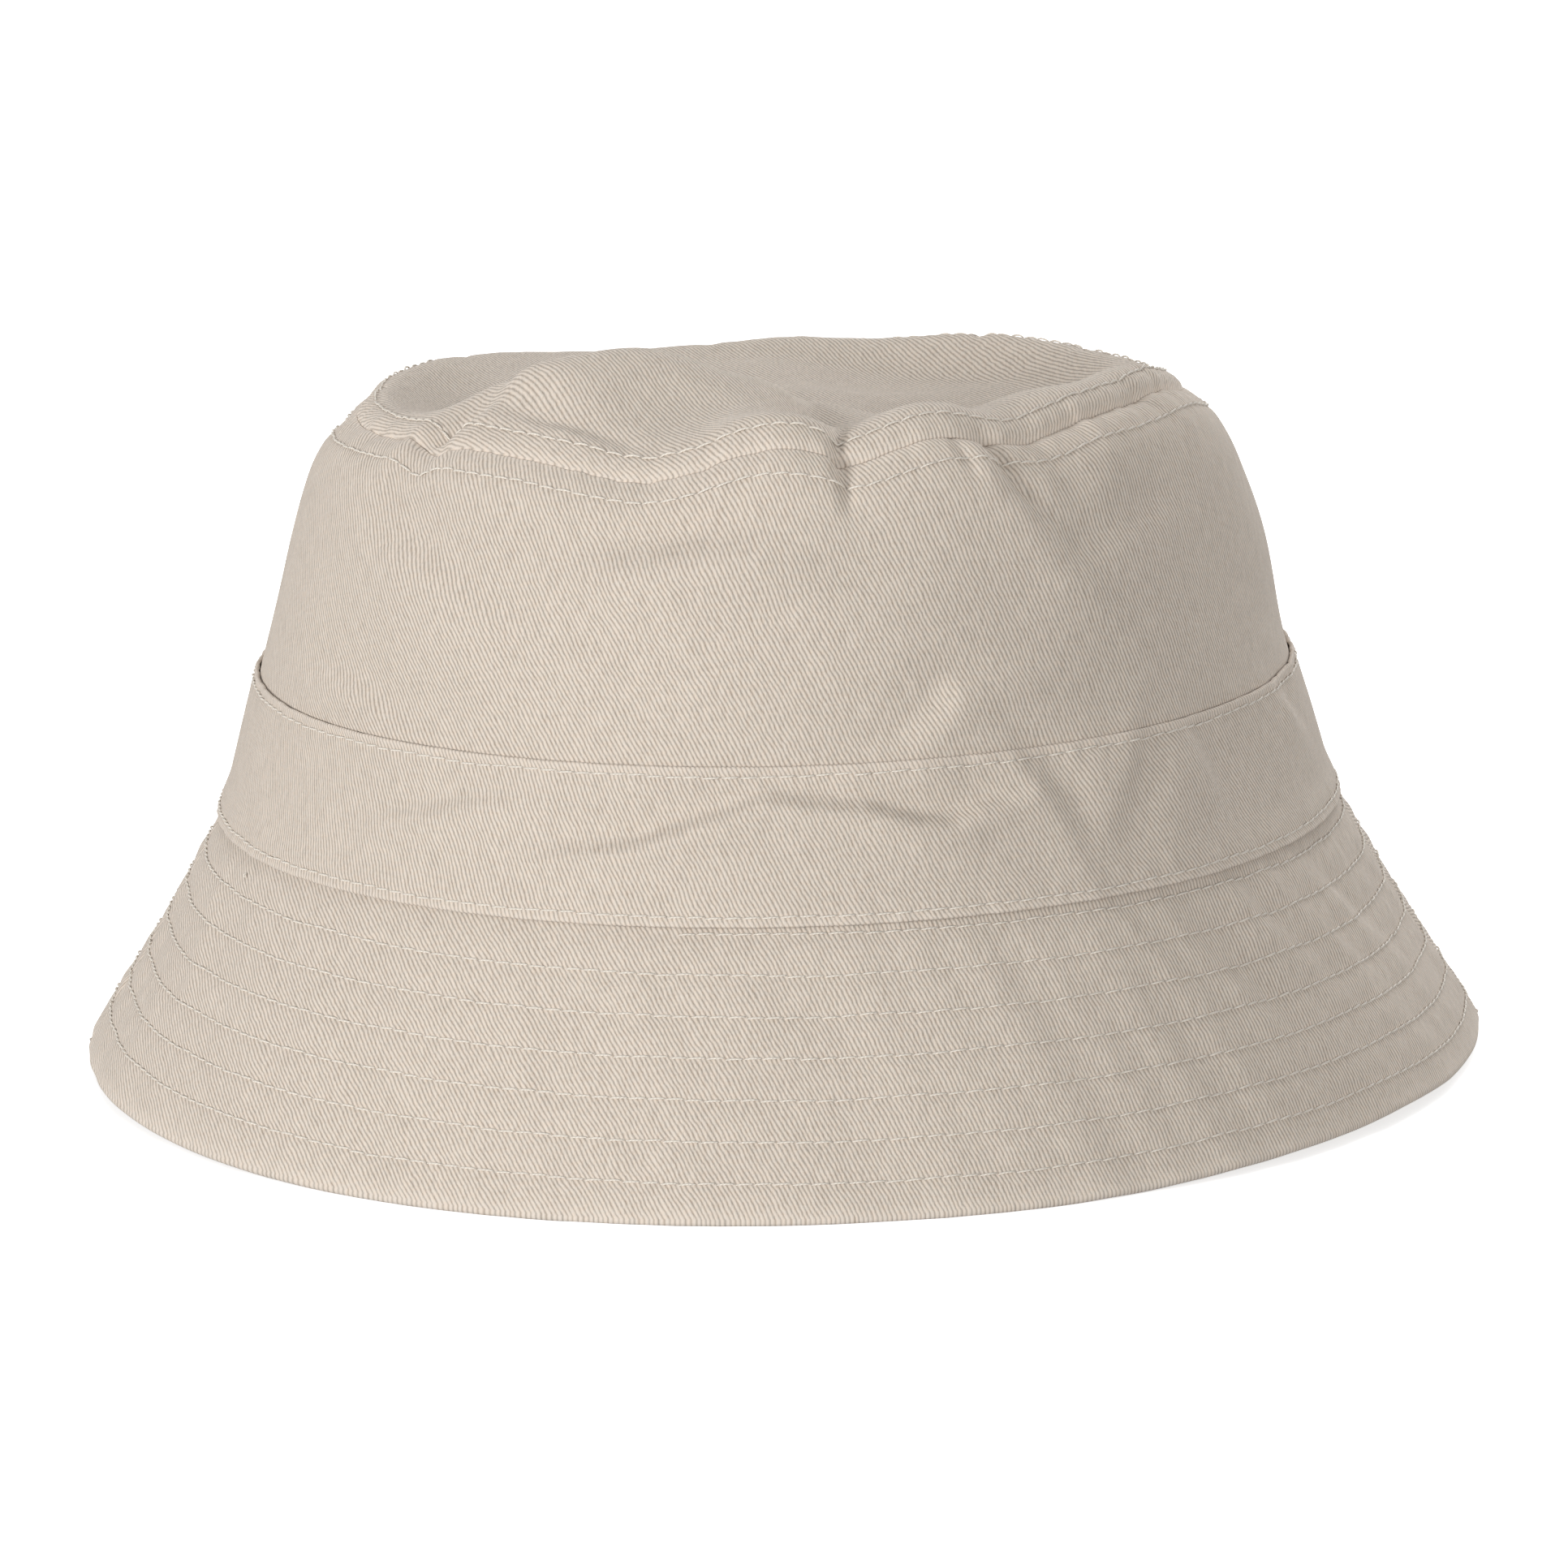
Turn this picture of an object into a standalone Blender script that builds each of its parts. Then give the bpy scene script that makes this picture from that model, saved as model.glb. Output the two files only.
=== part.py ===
"""Soft cotton bucket hat: an oval tip and two side panels for the crown, an outer band, a brim of two quilted
layers round a stiffener, a sweatband, seam tapes, a care label that swings, and the rows of stitching.

Metres, +Z up, -Y the wearer's front, +X the wearer's left. The hat stands on its hem at z = 0.
Every ring is an oval: a profile in the XZ plane, turned about Z and then stretched along Y by DEPTH_RATIO.
Offsets are measured from an outer face of the hat inwards, along that face's normal."""

import math

import bmesh
import bpy
from mathutils import Matrix, Vector

# The hat's main sizes
SEAM_HALF_WIDTH = 0.0945     # outer face of the crown at the brim seam, along X
SEAM_HEIGHT = 0.0453         # brim seam above the hem
WALL_RISE = 0.0557           # straight part of the crown wall
DEPTH_RATIO = 1.05           # front to back over side to side
CROWN_LEAN = math.radians(15.0)
BRIM_LEAN = math.radians(29.9)
SHOULDER_RADIUS = 0.0242     # the side panels round in to the tip seam
TIP_SEAM_LEAN = math.radians(50.0)
TIP_EDGE_RADIUS = 0.0170     # the tip rounds over to its nearly flat top
TIP_FLAT_LEAN = math.radians(88.0)

# Cloth
TWILL = 0.0005
STIFFENER = 0.0004
TAPE = 0.0004
BAND = 0.0009                # a strip folded to two layers
LABEL = 0.0004
THREAD_RADIUS = 0.000175
GAP = 0.0003                 # between pieces that are sewn together

# Brim
SEAM_ALLOWANCE = 0.0100      # the brim's upturned edge, inside the crown
HEM_LIP = 0.0022             # the last stretch of each brim layer hangs straight down
STIFFENER_MARGIN = 0.0030    # the stiffener stops this far short of the lip
QUILT_ROWS = 7               # turns of one spiral
QUILT_FIRST = 0.0033         # along the brim, from the seam to the start of the first row
QUILT_MARGIN = 0.0073        # from the hem up to the start of the last row
QUILT_START = math.radians(260.0)      # bearing of each row's start, on the front
LAST_ROW_SWEEP = math.radians(190.0)   # the last row stops at the middle of the back

# Crown trim
BAND_WIDTH = 0.0262
BAND_OVERHANG = 0.0024       # the band's lower edge reaches this far past the brim seam
BAND_KNEE = 0.0016           # above the seam, where the band starts to flare over the brim
EDGE_STITCH = 0.0015         # stitch line in from each edge of the band
TIP_STITCH = 0.0050          # stitch line on each side of the tip seam
TAPE_HALF_WIDTH = 0.0072
SWEATBAND_WIDTH = 0.0310
SWEATBAND_STITCH = 0.0022

# Care label
LABEL_WIDTH = 0.0220
LABEL_LENGTH = 0.0300

RING_STEPS = 72              # every ring shares its corners' bearings, so the gaps stay even
HALF_TURN = math.pi
FULL_TURN = 2 * math.pi


def clear_scene():
    for obj in list(bpy.data.objects):
        bpy.data.objects.remove(obj, do_unlink=True)


def make_material(name, colour, roughness):
    material = bpy.data.materials.new(name)
    material.use_nodes = True
    shader = material.node_tree.nodes["Principled BSDF"]
    shader.inputs["Base Color"].default_value = (*colour, 1.0)
    shader.inputs["Roughness"].default_value = roughness
    shader.inputs["Metallic"].default_value = 0.0
    return material


def facing(angle):
    """The direction of an outer face that leans back by this angle."""
    return Vector((math.cos(angle), math.sin(angle)))


def climbing(angle):
    """Up along such a face."""
    return Vector((-math.sin(angle), math.cos(angle)))


# The outer faces: a straight wall, then arcs that share their tangents
SEAM = Vector((SEAM_HALF_WIDTH, SEAM_HEIGHT))
WALL_LENGTH = WALL_RISE / math.cos(CROWN_LEAN)
BRIM_LENGTH = SEAM_HEIGHT / math.cos(BRIM_LEAN)
SHOULDER_CENTRE = SEAM + WALL_LENGTH * climbing(CROWN_LEAN) - SHOULDER_RADIUS * facing(CROWN_LEAN)
TIP_EDGE_CENTRE = SHOULDER_CENTRE + (SHOULDER_RADIUS - TIP_EDGE_RADIUS) * facing(TIP_SEAM_LEAN)
TOP_RADIUS = TIP_EDGE_RADIUS + TIP_EDGE_CENTRE.x / math.cos(TIP_FLAT_LEAN)
TOP_CENTRE = TIP_EDGE_CENTRE + (TIP_EDGE_RADIUS - TOP_RADIUS) * facing(TIP_FLAT_LEAN)


def on_wall(along, offset):
    """A point of the crown wall, this far up from the brim seam."""
    return SEAM + along * climbing(CROWN_LEAN) - offset * facing(CROWN_LEAN)


def on_brim(along, offset):
    """A point of the brim, this far down from the brim seam."""
    return SEAM - along * climbing(BRIM_LEAN) - offset * facing(BRIM_LEAN)


def on_arc(centre, radius, offset, angle):
    return centre + (radius - offset) * facing(angle)


def arc(centre, radius, offset, first, last, steps):
    share = (last - first) / steps
    return [on_arc(centre, radius, offset, first + share * i) for i in range(steps + 1)]


def turned_edge(wall_offset, brim_offset):
    """Where a layer inside the wall turns out into the brim."""
    lean = BRIM_LEAN - CROWN_LEAN
    along = (wall_offset * math.cos(lean) - brim_offset) / math.sin(lean)
    return on_wall(along, wall_offset)


def oval_surface(name, profile, start, sweep):
    """The profile turned about Z from the bearing start, then stretched to the oval."""
    steps = round(RING_STEPS * sweep / FULL_TURN)
    line = bpy.data.meshes.new(name)
    edges = [(i, i + 1) for i in range(len(profile) - 1)]
    line.from_pydata([(point.x, 0.0, point.y) for point in profile], edges, [])
    turner = bpy.data.objects.new(name + "_profile", line)
    bpy.context.scene.collection.objects.link(turner)
    screw = turner.modifiers.new("Turn", "SCREW")
    screw.angle = sweep
    screw.steps = steps
    screw.render_steps = steps
    screw.use_merge_vertices = False
    graph = bpy.context.evaluated_depsgraph_get()
    surface = bpy.data.meshes.new_from_object(turner.evaluated_get(graph))
    bpy.data.objects.remove(turner, do_unlink=True)
    bpy.data.meshes.remove(line)
    surface.transform(Matrix.Diagonal((1.0, DEPTH_RATIO, 1.0, 1.0)) @ Matrix.Rotation(start, 4, "Z"))
    cage = bmesh.new()
    cage.from_mesh(surface)
    bmesh.ops.remove_doubles(cage, verts=cage.verts, dist=1e-6)
    bmesh.ops.recalc_face_normals(cage, faces=cage.faces)
    cage.to_mesh(surface)
    cage.free()
    surface.name = name
    return surface


def cloth(name, profile, thickness, material, start=0.0, sweep=FULL_TURN):
    """One layer of cloth, its thickness shared between the two sides of the profile."""
    surface = oval_surface(name, profile, start, sweep)
    piece = bpy.data.objects.new(name, surface)
    hat.objects.link(piece)
    body = piece.modifiers.new("Thickness", "SOLIDIFY")
    body.thickness = thickness
    body.offset = 0.0
    body.use_even_offset = True
    surface.shade_smooth()
    surface.set_sharp_from_angle(angle=math.radians(35.0))
    surface.materials.append(material)
    return piece


def cloth_halves(name, profile, thickness, material):
    """A front and a back panel, with a side seam at each end."""
    slack = GAP / (2 * min(point.x for point in profile))
    for side, start in (("front", HALF_TURN), ("back", 0.0)):
        cloth(f"{name}_{side}", profile, thickness, material, start + slack, HALF_TURN - 2 * slack)


def thread_row(name, point, material, drift=None, start=0.0, sweep=FULL_TURN):
    """One row of stitching: a closed ring of thread, or with a drift, an open turn of a spiral."""
    closed = drift is None
    steps = round(RING_STEPS * sweep / FULL_TURN)
    slack = 0.0 if closed else GAP / point.x    # the next turn starts where this one stops
    curve = bpy.data.curves.new(name, "CURVE")
    curve.dimensions = "3D"
    curve.bevel_depth = THREAD_RADIUS
    curve.bevel_resolution = 0
    curve.use_fill_caps = not closed
    ring = curve.splines.new("POLY")
    ring.points.add(steps - 1 if closed else steps)
    for i, corner in enumerate(ring.points):
        share = i / steps
        place = point if closed else point + share * drift
        bearing = start + slack + share * (sweep - 2 * slack)
        across = place.x * math.cos(bearing)
        along = place.x * DEPTH_RATIO * math.sin(bearing)
        corner.co = (across, along, place.y, 1.0)
    ring.use_cyclic_u = closed
    curve.materials.append(material)
    row = bpy.data.objects.new(name, curve)
    hat.objects.link(row)
    return row


def make_crown(twill, tape_cloth):
    mid = TWILL / 2
    half_gap = GAP / 2
    shoulder_end = TIP_SEAM_LEAN - half_gap / SHOULDER_RADIUS
    tip_start = TIP_SEAM_LEAN + half_gap / TIP_EDGE_RADIUS
    lean = BRIM_LEAN - CROWN_LEAN
    lowest = (GAP + TWILL * math.cos(lean)) / math.sin(lean)
    side = [on_wall(lowest, mid), on_wall(BAND_WIDTH, mid)]
    side += arc(SHOULDER_CENTRE, SHOULDER_RADIUS, mid, CROWN_LEAN, shoulder_end, 4)
    cloth_halves("side_crown", side, TWILL, twill)

    tip = arc(TIP_EDGE_CENTRE, TIP_EDGE_RADIUS, mid, tip_start, TIP_FLAT_LEAN, 4)
    tip += arc(TOP_CENTRE, TOP_RADIUS, mid, TIP_FLAT_LEAN, math.pi / 2, 3)[1:]
    tip[-1].x = 0.0
    cloth("crown_tip", tip, TWILL, twill)

    behind = TWILL + GAP + TAPE / 2
    lower = TIP_SEAM_LEAN - TAPE_HALF_WIDTH / SHOULDER_RADIUS
    upper = TIP_SEAM_LEAN + TAPE_HALF_WIDTH / TIP_EDGE_RADIUS
    tape = arc(SHOULDER_CENTRE, SHOULDER_RADIUS, behind, lower, TIP_SEAM_LEAN, 2)
    tape += arc(TIP_EDGE_CENTRE, TIP_EDGE_RADIUS, behind, TIP_SEAM_LEAN, upper, 3)[1:]
    cloth("tip_seam_tape", tape, TAPE, tape_cloth)

    tape_end = lower - 2 * GAP / SHOULDER_RADIUS
    strip = [on_wall(SEAM_ALLOWANCE + 2 * GAP, behind), on_wall(WALL_LENGTH, behind)]
    strip += arc(SHOULDER_CENTRE, SHOULDER_RADIUS, behind, CROWN_LEAN, tape_end, 1)[1:]
    step = FULL_TURN / RING_STEPS
    for name, bearing in (("left", 0.0), ("right", HALF_TURN)):
        cloth(f"side_seam_tape_{name}", strip, TAPE, tape_cloth, bearing - step, 2 * step)


def make_brim(twill, stiffener_cloth):
    layers = (
        ("upper_brim", TWILL + GAP + TWILL / 2, TWILL / 2, GAP),
        ("under_brim", 2 * (TWILL + GAP) + TWILL / 2, TWILL + GAP + STIFFENER + GAP + TWILL / 2, 0.0),
    )
    for name, wall_offset, brim_offset, lift in layers:
        turn = turned_edge(wall_offset, brim_offset)
        rise = brim_offset * math.sin(BRIM_LEAN) / math.cos(BRIM_LEAN)
        knee = on_brim(BRIM_LENGTH - rise - HEM_LIP / math.cos(BRIM_LEAN), brim_offset)
        foot = Vector((knee.x, lift))
        middle = (turn + knee) / 2
        top = on_wall(SEAM_ALLOWANCE, wall_offset)
        cloth_halves(name, [top, turn, middle, knee, foot], TWILL, twill)

    offset = TWILL + GAP + STIFFENER / 2
    head = on_brim(QUILT_FIRST / 2, offset)
    tail = on_brim(BRIM_LENGTH - STIFFENER_MARGIN - HEM_LIP / math.cos(BRIM_LEAN), offset)
    cloth("brim_interlining", [head, (head + tail) / 2, tail], STIFFENER, stiffener_cloth)


def make_band(twill):
    """The strip lies on the wall and flares at its lower edge to clear the brim."""
    lean = BRIM_LEAN - CROWN_LEAN
    flare = (GAP + BAND_OVERHANG * math.sin(lean)) / math.cos(lean)
    foot = on_wall(-BAND_OVERHANG, -flare - BAND / 2)
    knee = on_wall(BAND_KNEE, -GAP - BAND / 2)
    head = on_wall(BAND_WIDTH - BAND_OVERHANG, -GAP - BAND / 2)
    cloth("outer_band", [foot, knee, head], BAND, twill)
    return foot, knee, head


def make_sweatband(sweat_cloth):
    offset = 3 * (TWILL + GAP) + TWILL / 2
    foot = on_wall(0.0, offset)
    head = on_wall(SWEATBAND_WIDTH, offset)
    cloth("sweatband", [foot, (foot + head) / 2, head], TWILL, sweat_cloth)
    return offset


def make_label(label_cloth, sweatband_offset):
    """A flat label that hangs straight down inside, at the back, from the sweatband's top edge."""
    head = on_wall(SWEATBAND_WIDTH, sweatband_offset + TWILL / 2)
    share = LABEL_WIDTH / 2 / head.x
    wall = head.x * DEPTH_RATIO * math.sqrt(1.0 - share * share)
    facets = head.x * DEPTH_RATIO * (1.0 - math.cos(math.pi / RING_STEPS))
    pivot = Vector((0.0, wall - facets - GAP - LABEL, head.y - 2 * GAP))
    hinge = bpy.data.objects.new("care_label_hinge", None)
    hinge.location = pivot
    hat.objects.link(hinge)
    bpy.ops.mesh.primitive_cube_add(size=1.0)
    label = bpy.context.active_object
    label.name = "care_label"
    label.data.transform(Matrix.Diagonal((LABEL_WIDTH, LABEL, LABEL_LENGTH, 1.0)))
    label.data.transform(Matrix.Translation((0.0, 0.0, -LABEL_LENGTH / 2)))
    label.data.materials.append(label_cloth)
    for collection in list(label.users_collection):
        collection.objects.unlink(label)
    hat.objects.link(label)
    label.parent = hinge
    return pivot


def make_stitching(thread, band_line, sweatband_offset):
    lift = GAP + THREAD_RADIUS
    pitch = (BRIM_LENGTH - QUILT_FIRST - QUILT_MARGIN) / (QUILT_ROWS - 1)
    for row in range(QUILT_ROWS):
        head = on_brim(QUILT_FIRST + row * pitch, -lift)
        sweep = LAST_ROW_SWEEP if row == QUILT_ROWS - 1 else FULL_TURN
        drift = -pitch * sweep / FULL_TURN * climbing(BRIM_LEAN)
        thread_row(f"brim_stitch_row_{row + 1}", head, thread, drift, QUILT_START, sweep)

    below = TIP_SEAM_LEAN - TIP_STITCH / SHOULDER_RADIUS
    above = TIP_SEAM_LEAN + TIP_STITCH / TIP_EDGE_RADIUS
    lower = on_arc(SHOULDER_CENTRE, SHOULDER_RADIUS, -lift, below)
    upper = on_arc(TIP_EDGE_CENTRE, TIP_EDGE_RADIUS, -lift, above)
    thread_row("tip_seam_stitch_lower", lower, thread)
    thread_row("tip_seam_stitch_upper", upper, thread)

    foot, knee, head = band_line
    outwards = BAND / 2 + lift
    flare = (foot - knee).normalized()
    flare_face = Vector((-flare.y, flare.x))
    thread_row("band_stitch_lower", foot - EDGE_STITCH * flare + outwards * flare_face, thread)
    wall_face = facing(CROWN_LEAN)
    thread_row("band_stitch_upper", head - EDGE_STITCH * climbing(CROWN_LEAN) + outwards * wall_face, thread)

    inner = sweatband_offset + TWILL / 2 + lift
    thread_row("sweatband_stitch", on_wall(SWEATBAND_STITCH, inner), thread)


clear_scene()
hat = bpy.data.collections.new("bucket_hat")
bpy.context.scene.collection.children.link(hat)

twill_material = make_material("stone_twill", (0.60, 0.53, 0.45), 0.85)
sweat_material = make_material("sweatband_twill", (0.58, 0.51, 0.43), 0.85)
tape_material = make_material("seam_tape", (0.62, 0.56, 0.48), 0.80)
stiffener_material = make_material("stiffener_canvas", (0.75, 0.74, 0.70), 0.90)
thread_material = make_material("thread", (0.66, 0.60, 0.51), 0.60)
label_material = make_material("label_satin", (0.86, 0.86, 0.84), 0.45)

make_crown(twill_material, tape_material)
make_brim(twill_material, stiffener_material)
band_profile = make_band(twill_material)
sweatband_depth = make_sweatband(sweat_material)
make_label(label_material, sweatband_depth)
make_stitching(thread_material, band_profile, sweatband_depth)
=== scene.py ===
import math
from functools import partial

import bmesh
import bpy
import numpy as np
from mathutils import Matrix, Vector


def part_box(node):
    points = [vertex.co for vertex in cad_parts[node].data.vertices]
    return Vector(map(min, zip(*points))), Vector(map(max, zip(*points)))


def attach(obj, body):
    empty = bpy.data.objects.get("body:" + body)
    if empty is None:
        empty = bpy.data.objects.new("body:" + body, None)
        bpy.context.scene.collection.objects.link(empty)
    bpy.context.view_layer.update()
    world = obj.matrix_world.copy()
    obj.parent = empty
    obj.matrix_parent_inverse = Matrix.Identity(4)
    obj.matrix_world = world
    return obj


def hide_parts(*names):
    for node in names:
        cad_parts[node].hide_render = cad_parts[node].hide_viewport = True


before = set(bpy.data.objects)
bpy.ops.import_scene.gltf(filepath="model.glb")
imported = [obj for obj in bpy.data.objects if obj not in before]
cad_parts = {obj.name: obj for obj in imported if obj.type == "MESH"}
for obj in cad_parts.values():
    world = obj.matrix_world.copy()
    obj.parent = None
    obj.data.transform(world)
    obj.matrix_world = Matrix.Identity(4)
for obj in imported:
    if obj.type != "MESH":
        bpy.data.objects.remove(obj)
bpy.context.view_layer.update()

mm = 0.001
wholeTurn = 2 * math.pi

# The hat's outer faces, as in the CAD model. Metres and degrees.
shape = {
    "seamHalfWidth": 0.0945,  # outer face of the crown at the brim seam
    "seamHeight": 0.0453,
    "wallRise": 0.0557,
    "depthRatio": 1.05,       # front to back over side to side
    "crownLean": 15.0,
    "brimLean": 29.9,
    "shoulderRadius": 0.0242,
    "tipSeamLean": 50.0,
    "tipEdgeRadius": 0.0170,
    "tipFlatLean": 88.0,
}

cloth = {
    "thickness": 0.00045,
    "colour": (0.655, 0.584, 0.512),
    "shade": (0.300, 0.260, 0.217),  # between the wales
    "endPitch": 0.000204,            # across the warp
    "pickPitch": 0.000383,           # along the warp
    "repeat": 4.0,                   # ends in one twill repeat
    "sheen": 0.12,
}

print("frame loaded")


crownLean = math.radians(shape["crownLean"])
brimLean = math.radians(shape["brimLean"])
seamLean = math.radians(shape["tipSeamLean"])
flatLean = math.radians(shape["tipFlatLean"])
shoulderRadius = shape["shoulderRadius"]
edgeRadius = shape["tipEdgeRadius"]
wallLength = shape["wallRise"] / math.cos(crownLean)
brimLength = shape["seamHeight"] / math.cos(brimLean)


def facing(angle):
    return np.array([np.cos(angle), np.sin(angle)])


def climbing(angle):
    return np.array([-np.sin(angle), np.cos(angle)])


seam = np.array([shape["seamHalfWidth"], shape["seamHeight"]])
shoulderCentre = seam + wallLength * climbing(crownLean) - shoulderRadius * facing(crownLean)
edgeCentre = shoulderCentre + (shoulderRadius - edgeRadius) * facing(seamLean)
topRadius = edgeRadius + edgeCentre[0] / math.cos(flatLean)
topCentre = edgeCentre + (edgeRadius - topRadius) * facing(flatLean)
seamAlong = wallLength + shoulderRadius * (seamLean - crownLean)  # the tip seam, up from the brim seam
flatAlong = seamAlong + edgeRadius * (flatLean - seamLean)
crownAlong = flatAlong + topRadius * (math.pi / 2 - flatLean)     # the middle of the tip


def section(along, depth=0.0):  # along is measured up from the brim seam, depth in from the outer face
    along = np.atleast_1d(np.asarray(along, float))
    depth = np.broadcast_to(depth, along.shape)
    point = np.zeros((len(along), 2))
    normal = np.zeros((len(along), 2))
    for i, (a, d) in enumerate(zip(along, depth)):
        if a < 0:
            lean, base = brimLean, seam + a * climbing(brimLean)
        elif a < wallLength:
            lean, base = crownLean, seam + a * climbing(crownLean)
        elif a < seamAlong:
            lean = crownLean + (a - wallLength) / shoulderRadius
            base = shoulderCentre + shoulderRadius * facing(lean)
        elif a < flatAlong:
            lean = seamLean + (a - seamAlong) / edgeRadius
            base = edgeCentre + edgeRadius * facing(lean)
        else:
            lean = flatLean + (a - flatAlong) / topRadius
            base = topCentre + topRadius * facing(lean)
        point[i] = base - d * facing(lean)
        normal[i] = facing(lean)
    return {"along": along, "point": point, "normal": normal}


def wallSection(along, out):  # on the crown wall's own line, which the band follows past the brim seam
    along = np.asarray(along, float)
    out = np.broadcast_to(out, along.shape)
    point = seam + along[:, None] * climbing(crownLean) + out[:, None] * facing(crownLean)
    normal = np.tile(facing(crownLean), (len(along), 1))
    return {"along": np.maximum(along, 0.0002), "point": point, "normal": normal}


def curled(part, radius, angle, steps=5, atStart=False, outward=False):  # adds a rolled edge
    end, nextTo = (0, 1) if atStart else (-1, -2)
    tangent = part["point"][end] - part["point"][nextTo]
    tangent = tangent / np.linalg.norm(tangent)
    side = np.array([tangent[1], -tangent[0]])
    if np.dot(side, part["normal"][end]) < 0:
        side = -side
    if outward:
        side = -side
    centre = part["point"][end] - radius * side
    sweep = np.radians(np.linspace(0, angle, steps + 1)[1:])
    extra = centre + radius * (np.cos(sweep)[:, None] * side + np.sin(sweep)[:, None] * tangent)
    normals = np.repeat(part["normal"][end][None], steps, axis=0)
    alongs = np.repeat(part["along"][end], steps)
    if atStart:
        order = slice(None, None, -1)
        return {
            "along": np.concatenate([alongs, part["along"]]),
            "point": np.concatenate([extra[order], part["point"]]),
            "normal": np.concatenate([normals, part["normal"]]),
        }
    return {
        "along": np.concatenate([part["along"], alongs]),
        "point": np.concatenate([part["point"], extra]),
        "normal": np.concatenate([part["normal"], normals]),
    }


def smooth(value, low, high):
    t = np.clip((value - low) / (high - low), 0, 1)
    return t * t * (3 - 2 * t)


def wander(x, seed, waves=5, first=1.0):  # a smooth uneven line, about -1 to 1, the same on every run
    chance = np.random.RandomState(seed)
    total = np.zeros_like(np.asarray(x, float))
    size = 0.0
    for i in range(waves):
        pitch = first * (1.0 + 0.75 * i) * (0.8 + 0.4 * chance.rand())
        weight = 1.0 / (1.0 + 0.45 * i)
        total = total + weight * np.sin(x * pitch + wholeTurn * chance.rand())
        size += weight
    return total / (0.55 * size)


folds = [  # bearing in degrees, then millimetres along, half-width, half-height; turn in degrees; push out
    (13, 73.5, 2.2, 5.2, 6, 0.8),
    (6.4, 73.0, 2.0, 4.6, 4, 0.6),
    (-62, 81.0, 16.0, 6.0, 0, -1.4),
    (-48.6, 75.5, 2.4, 5.0, -16, 1.0),
    (-57.5, 69.0, 2.2, 4.4, -28, 0.8),
    (27.6, 68.0, 1.4, 3.6, 8, 0.7),
    (35, 65.5, 2.2, 6.0, 24, 1.2),
    (61, 72.0, 1.2, 4.8, 18, -0.8),
    (68, 72.5, 1.4, 5.0, 10, -0.7),
    (-28, 73.0, 1.4, 3.6, 10, -0.4),
    (-20, 72.5, 1.6, 3.6, 24, -0.4),
    (-96, 72.5, 1.3, 5.0, -8, -0.9),
    (101, 72.5, 1.3, 5.0, 14, -0.9),
    (123, 72.0, 1.2, 4.6, -10, -0.8),
    (147, 73.0, 1.2, 5.0, 12, -1.1),
    (-172, 72.5, 1.2, 4.8, -14, -1.0),
    (-151, 72.5, 1.4, 4.6, 8, -0.8),
    (-126, 73.0, 1.2, 5.0, -6, -1.1),
    (-9.6, 61.5, 13.5, 3.2, 4, -2.4),
    (-9, 53.5, 16.0, 4.0, 4, 1.3),
    (14, 44.0, 22.0, 7.0, 10, 0.5),
    (45, 62.0, 9.0, 3.8, 26, 1.0),
    (-51, 61.0, 10.0, 3.4, -30, -1.2),
    (-45, 45.0, 16.0, 5.0, -26, 0.7),
    (-68, 40.0, 20.0, 9.0, 20, -0.8),
    (44.5, 13.0, 4.8, 10.0, -6, 1.0),
    (34.5, 14.0, 3.0, 8.0, -10, 0.6),
    (58, 12.0, 9.0, 9.0, 12, -1.1),
    (70, 36.0, 24.0, 8.0, -20, -1.0),
    (-62, 13.0, 12.0, 5.0, 30, -0.6),
    (-88, 42.0, 24.0, 9.0, 24, -1.0),
    (112, 50.0, 22.0, 5.5, -28, -1.8),
    (128, 40.0, 28.0, 7.0, 16, 1.1),
    (150, 58.0, 15.0, 5.0, 30, -1.8),
    (171, 43.0, 26.0, 6.0, -9, -1.4),
    (-168, 61.0, 11.0, 6.0, -25, -1.8),
    (-146, 47.0, 26.0, 6.0, 18, -1.4),
    (-122, 33.0, 22.0, 8.0, -24, 1.1),
    (-104, 59.0, 14.0, 5.0, 32, -1.6),
    (160, 12.0, 24.0, 5.0, 10, -0.8),
    (-135, 14.0, 20.0, 5.0, -16, -0.8),
    (74, -16.0, 9.0, 15.0, 12, -0.7),
    (-80, -25.0, 10.0, 18.0, -10, -0.7),
    (140, -25.0, 16.0, 16.0, 6, 0.9),
    (-150, -27.0, 17.0, 15.0, -12, -0.9),
]


def ripple(bearing, rate, seed, waves=5, first=1.0, shift=0.0):  # in whole waves, so that a ring meets itself
    chance = np.random.RandomState(seed)
    total = 0.0
    size = 0.0
    for i in range(waves):
        pitch = first * (1.0 + 0.75 * i) * (0.8 + 0.4 * chance.rand())
        weight = 1.0 / (1.0 + 0.45 * i)
        phase = pitch * shift + wholeTurn * chance.rand()
        total = total + weight * np.sin(round(rate * pitch) * bearing + phase)
        size += weight
    return total / (0.55 * size)


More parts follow.
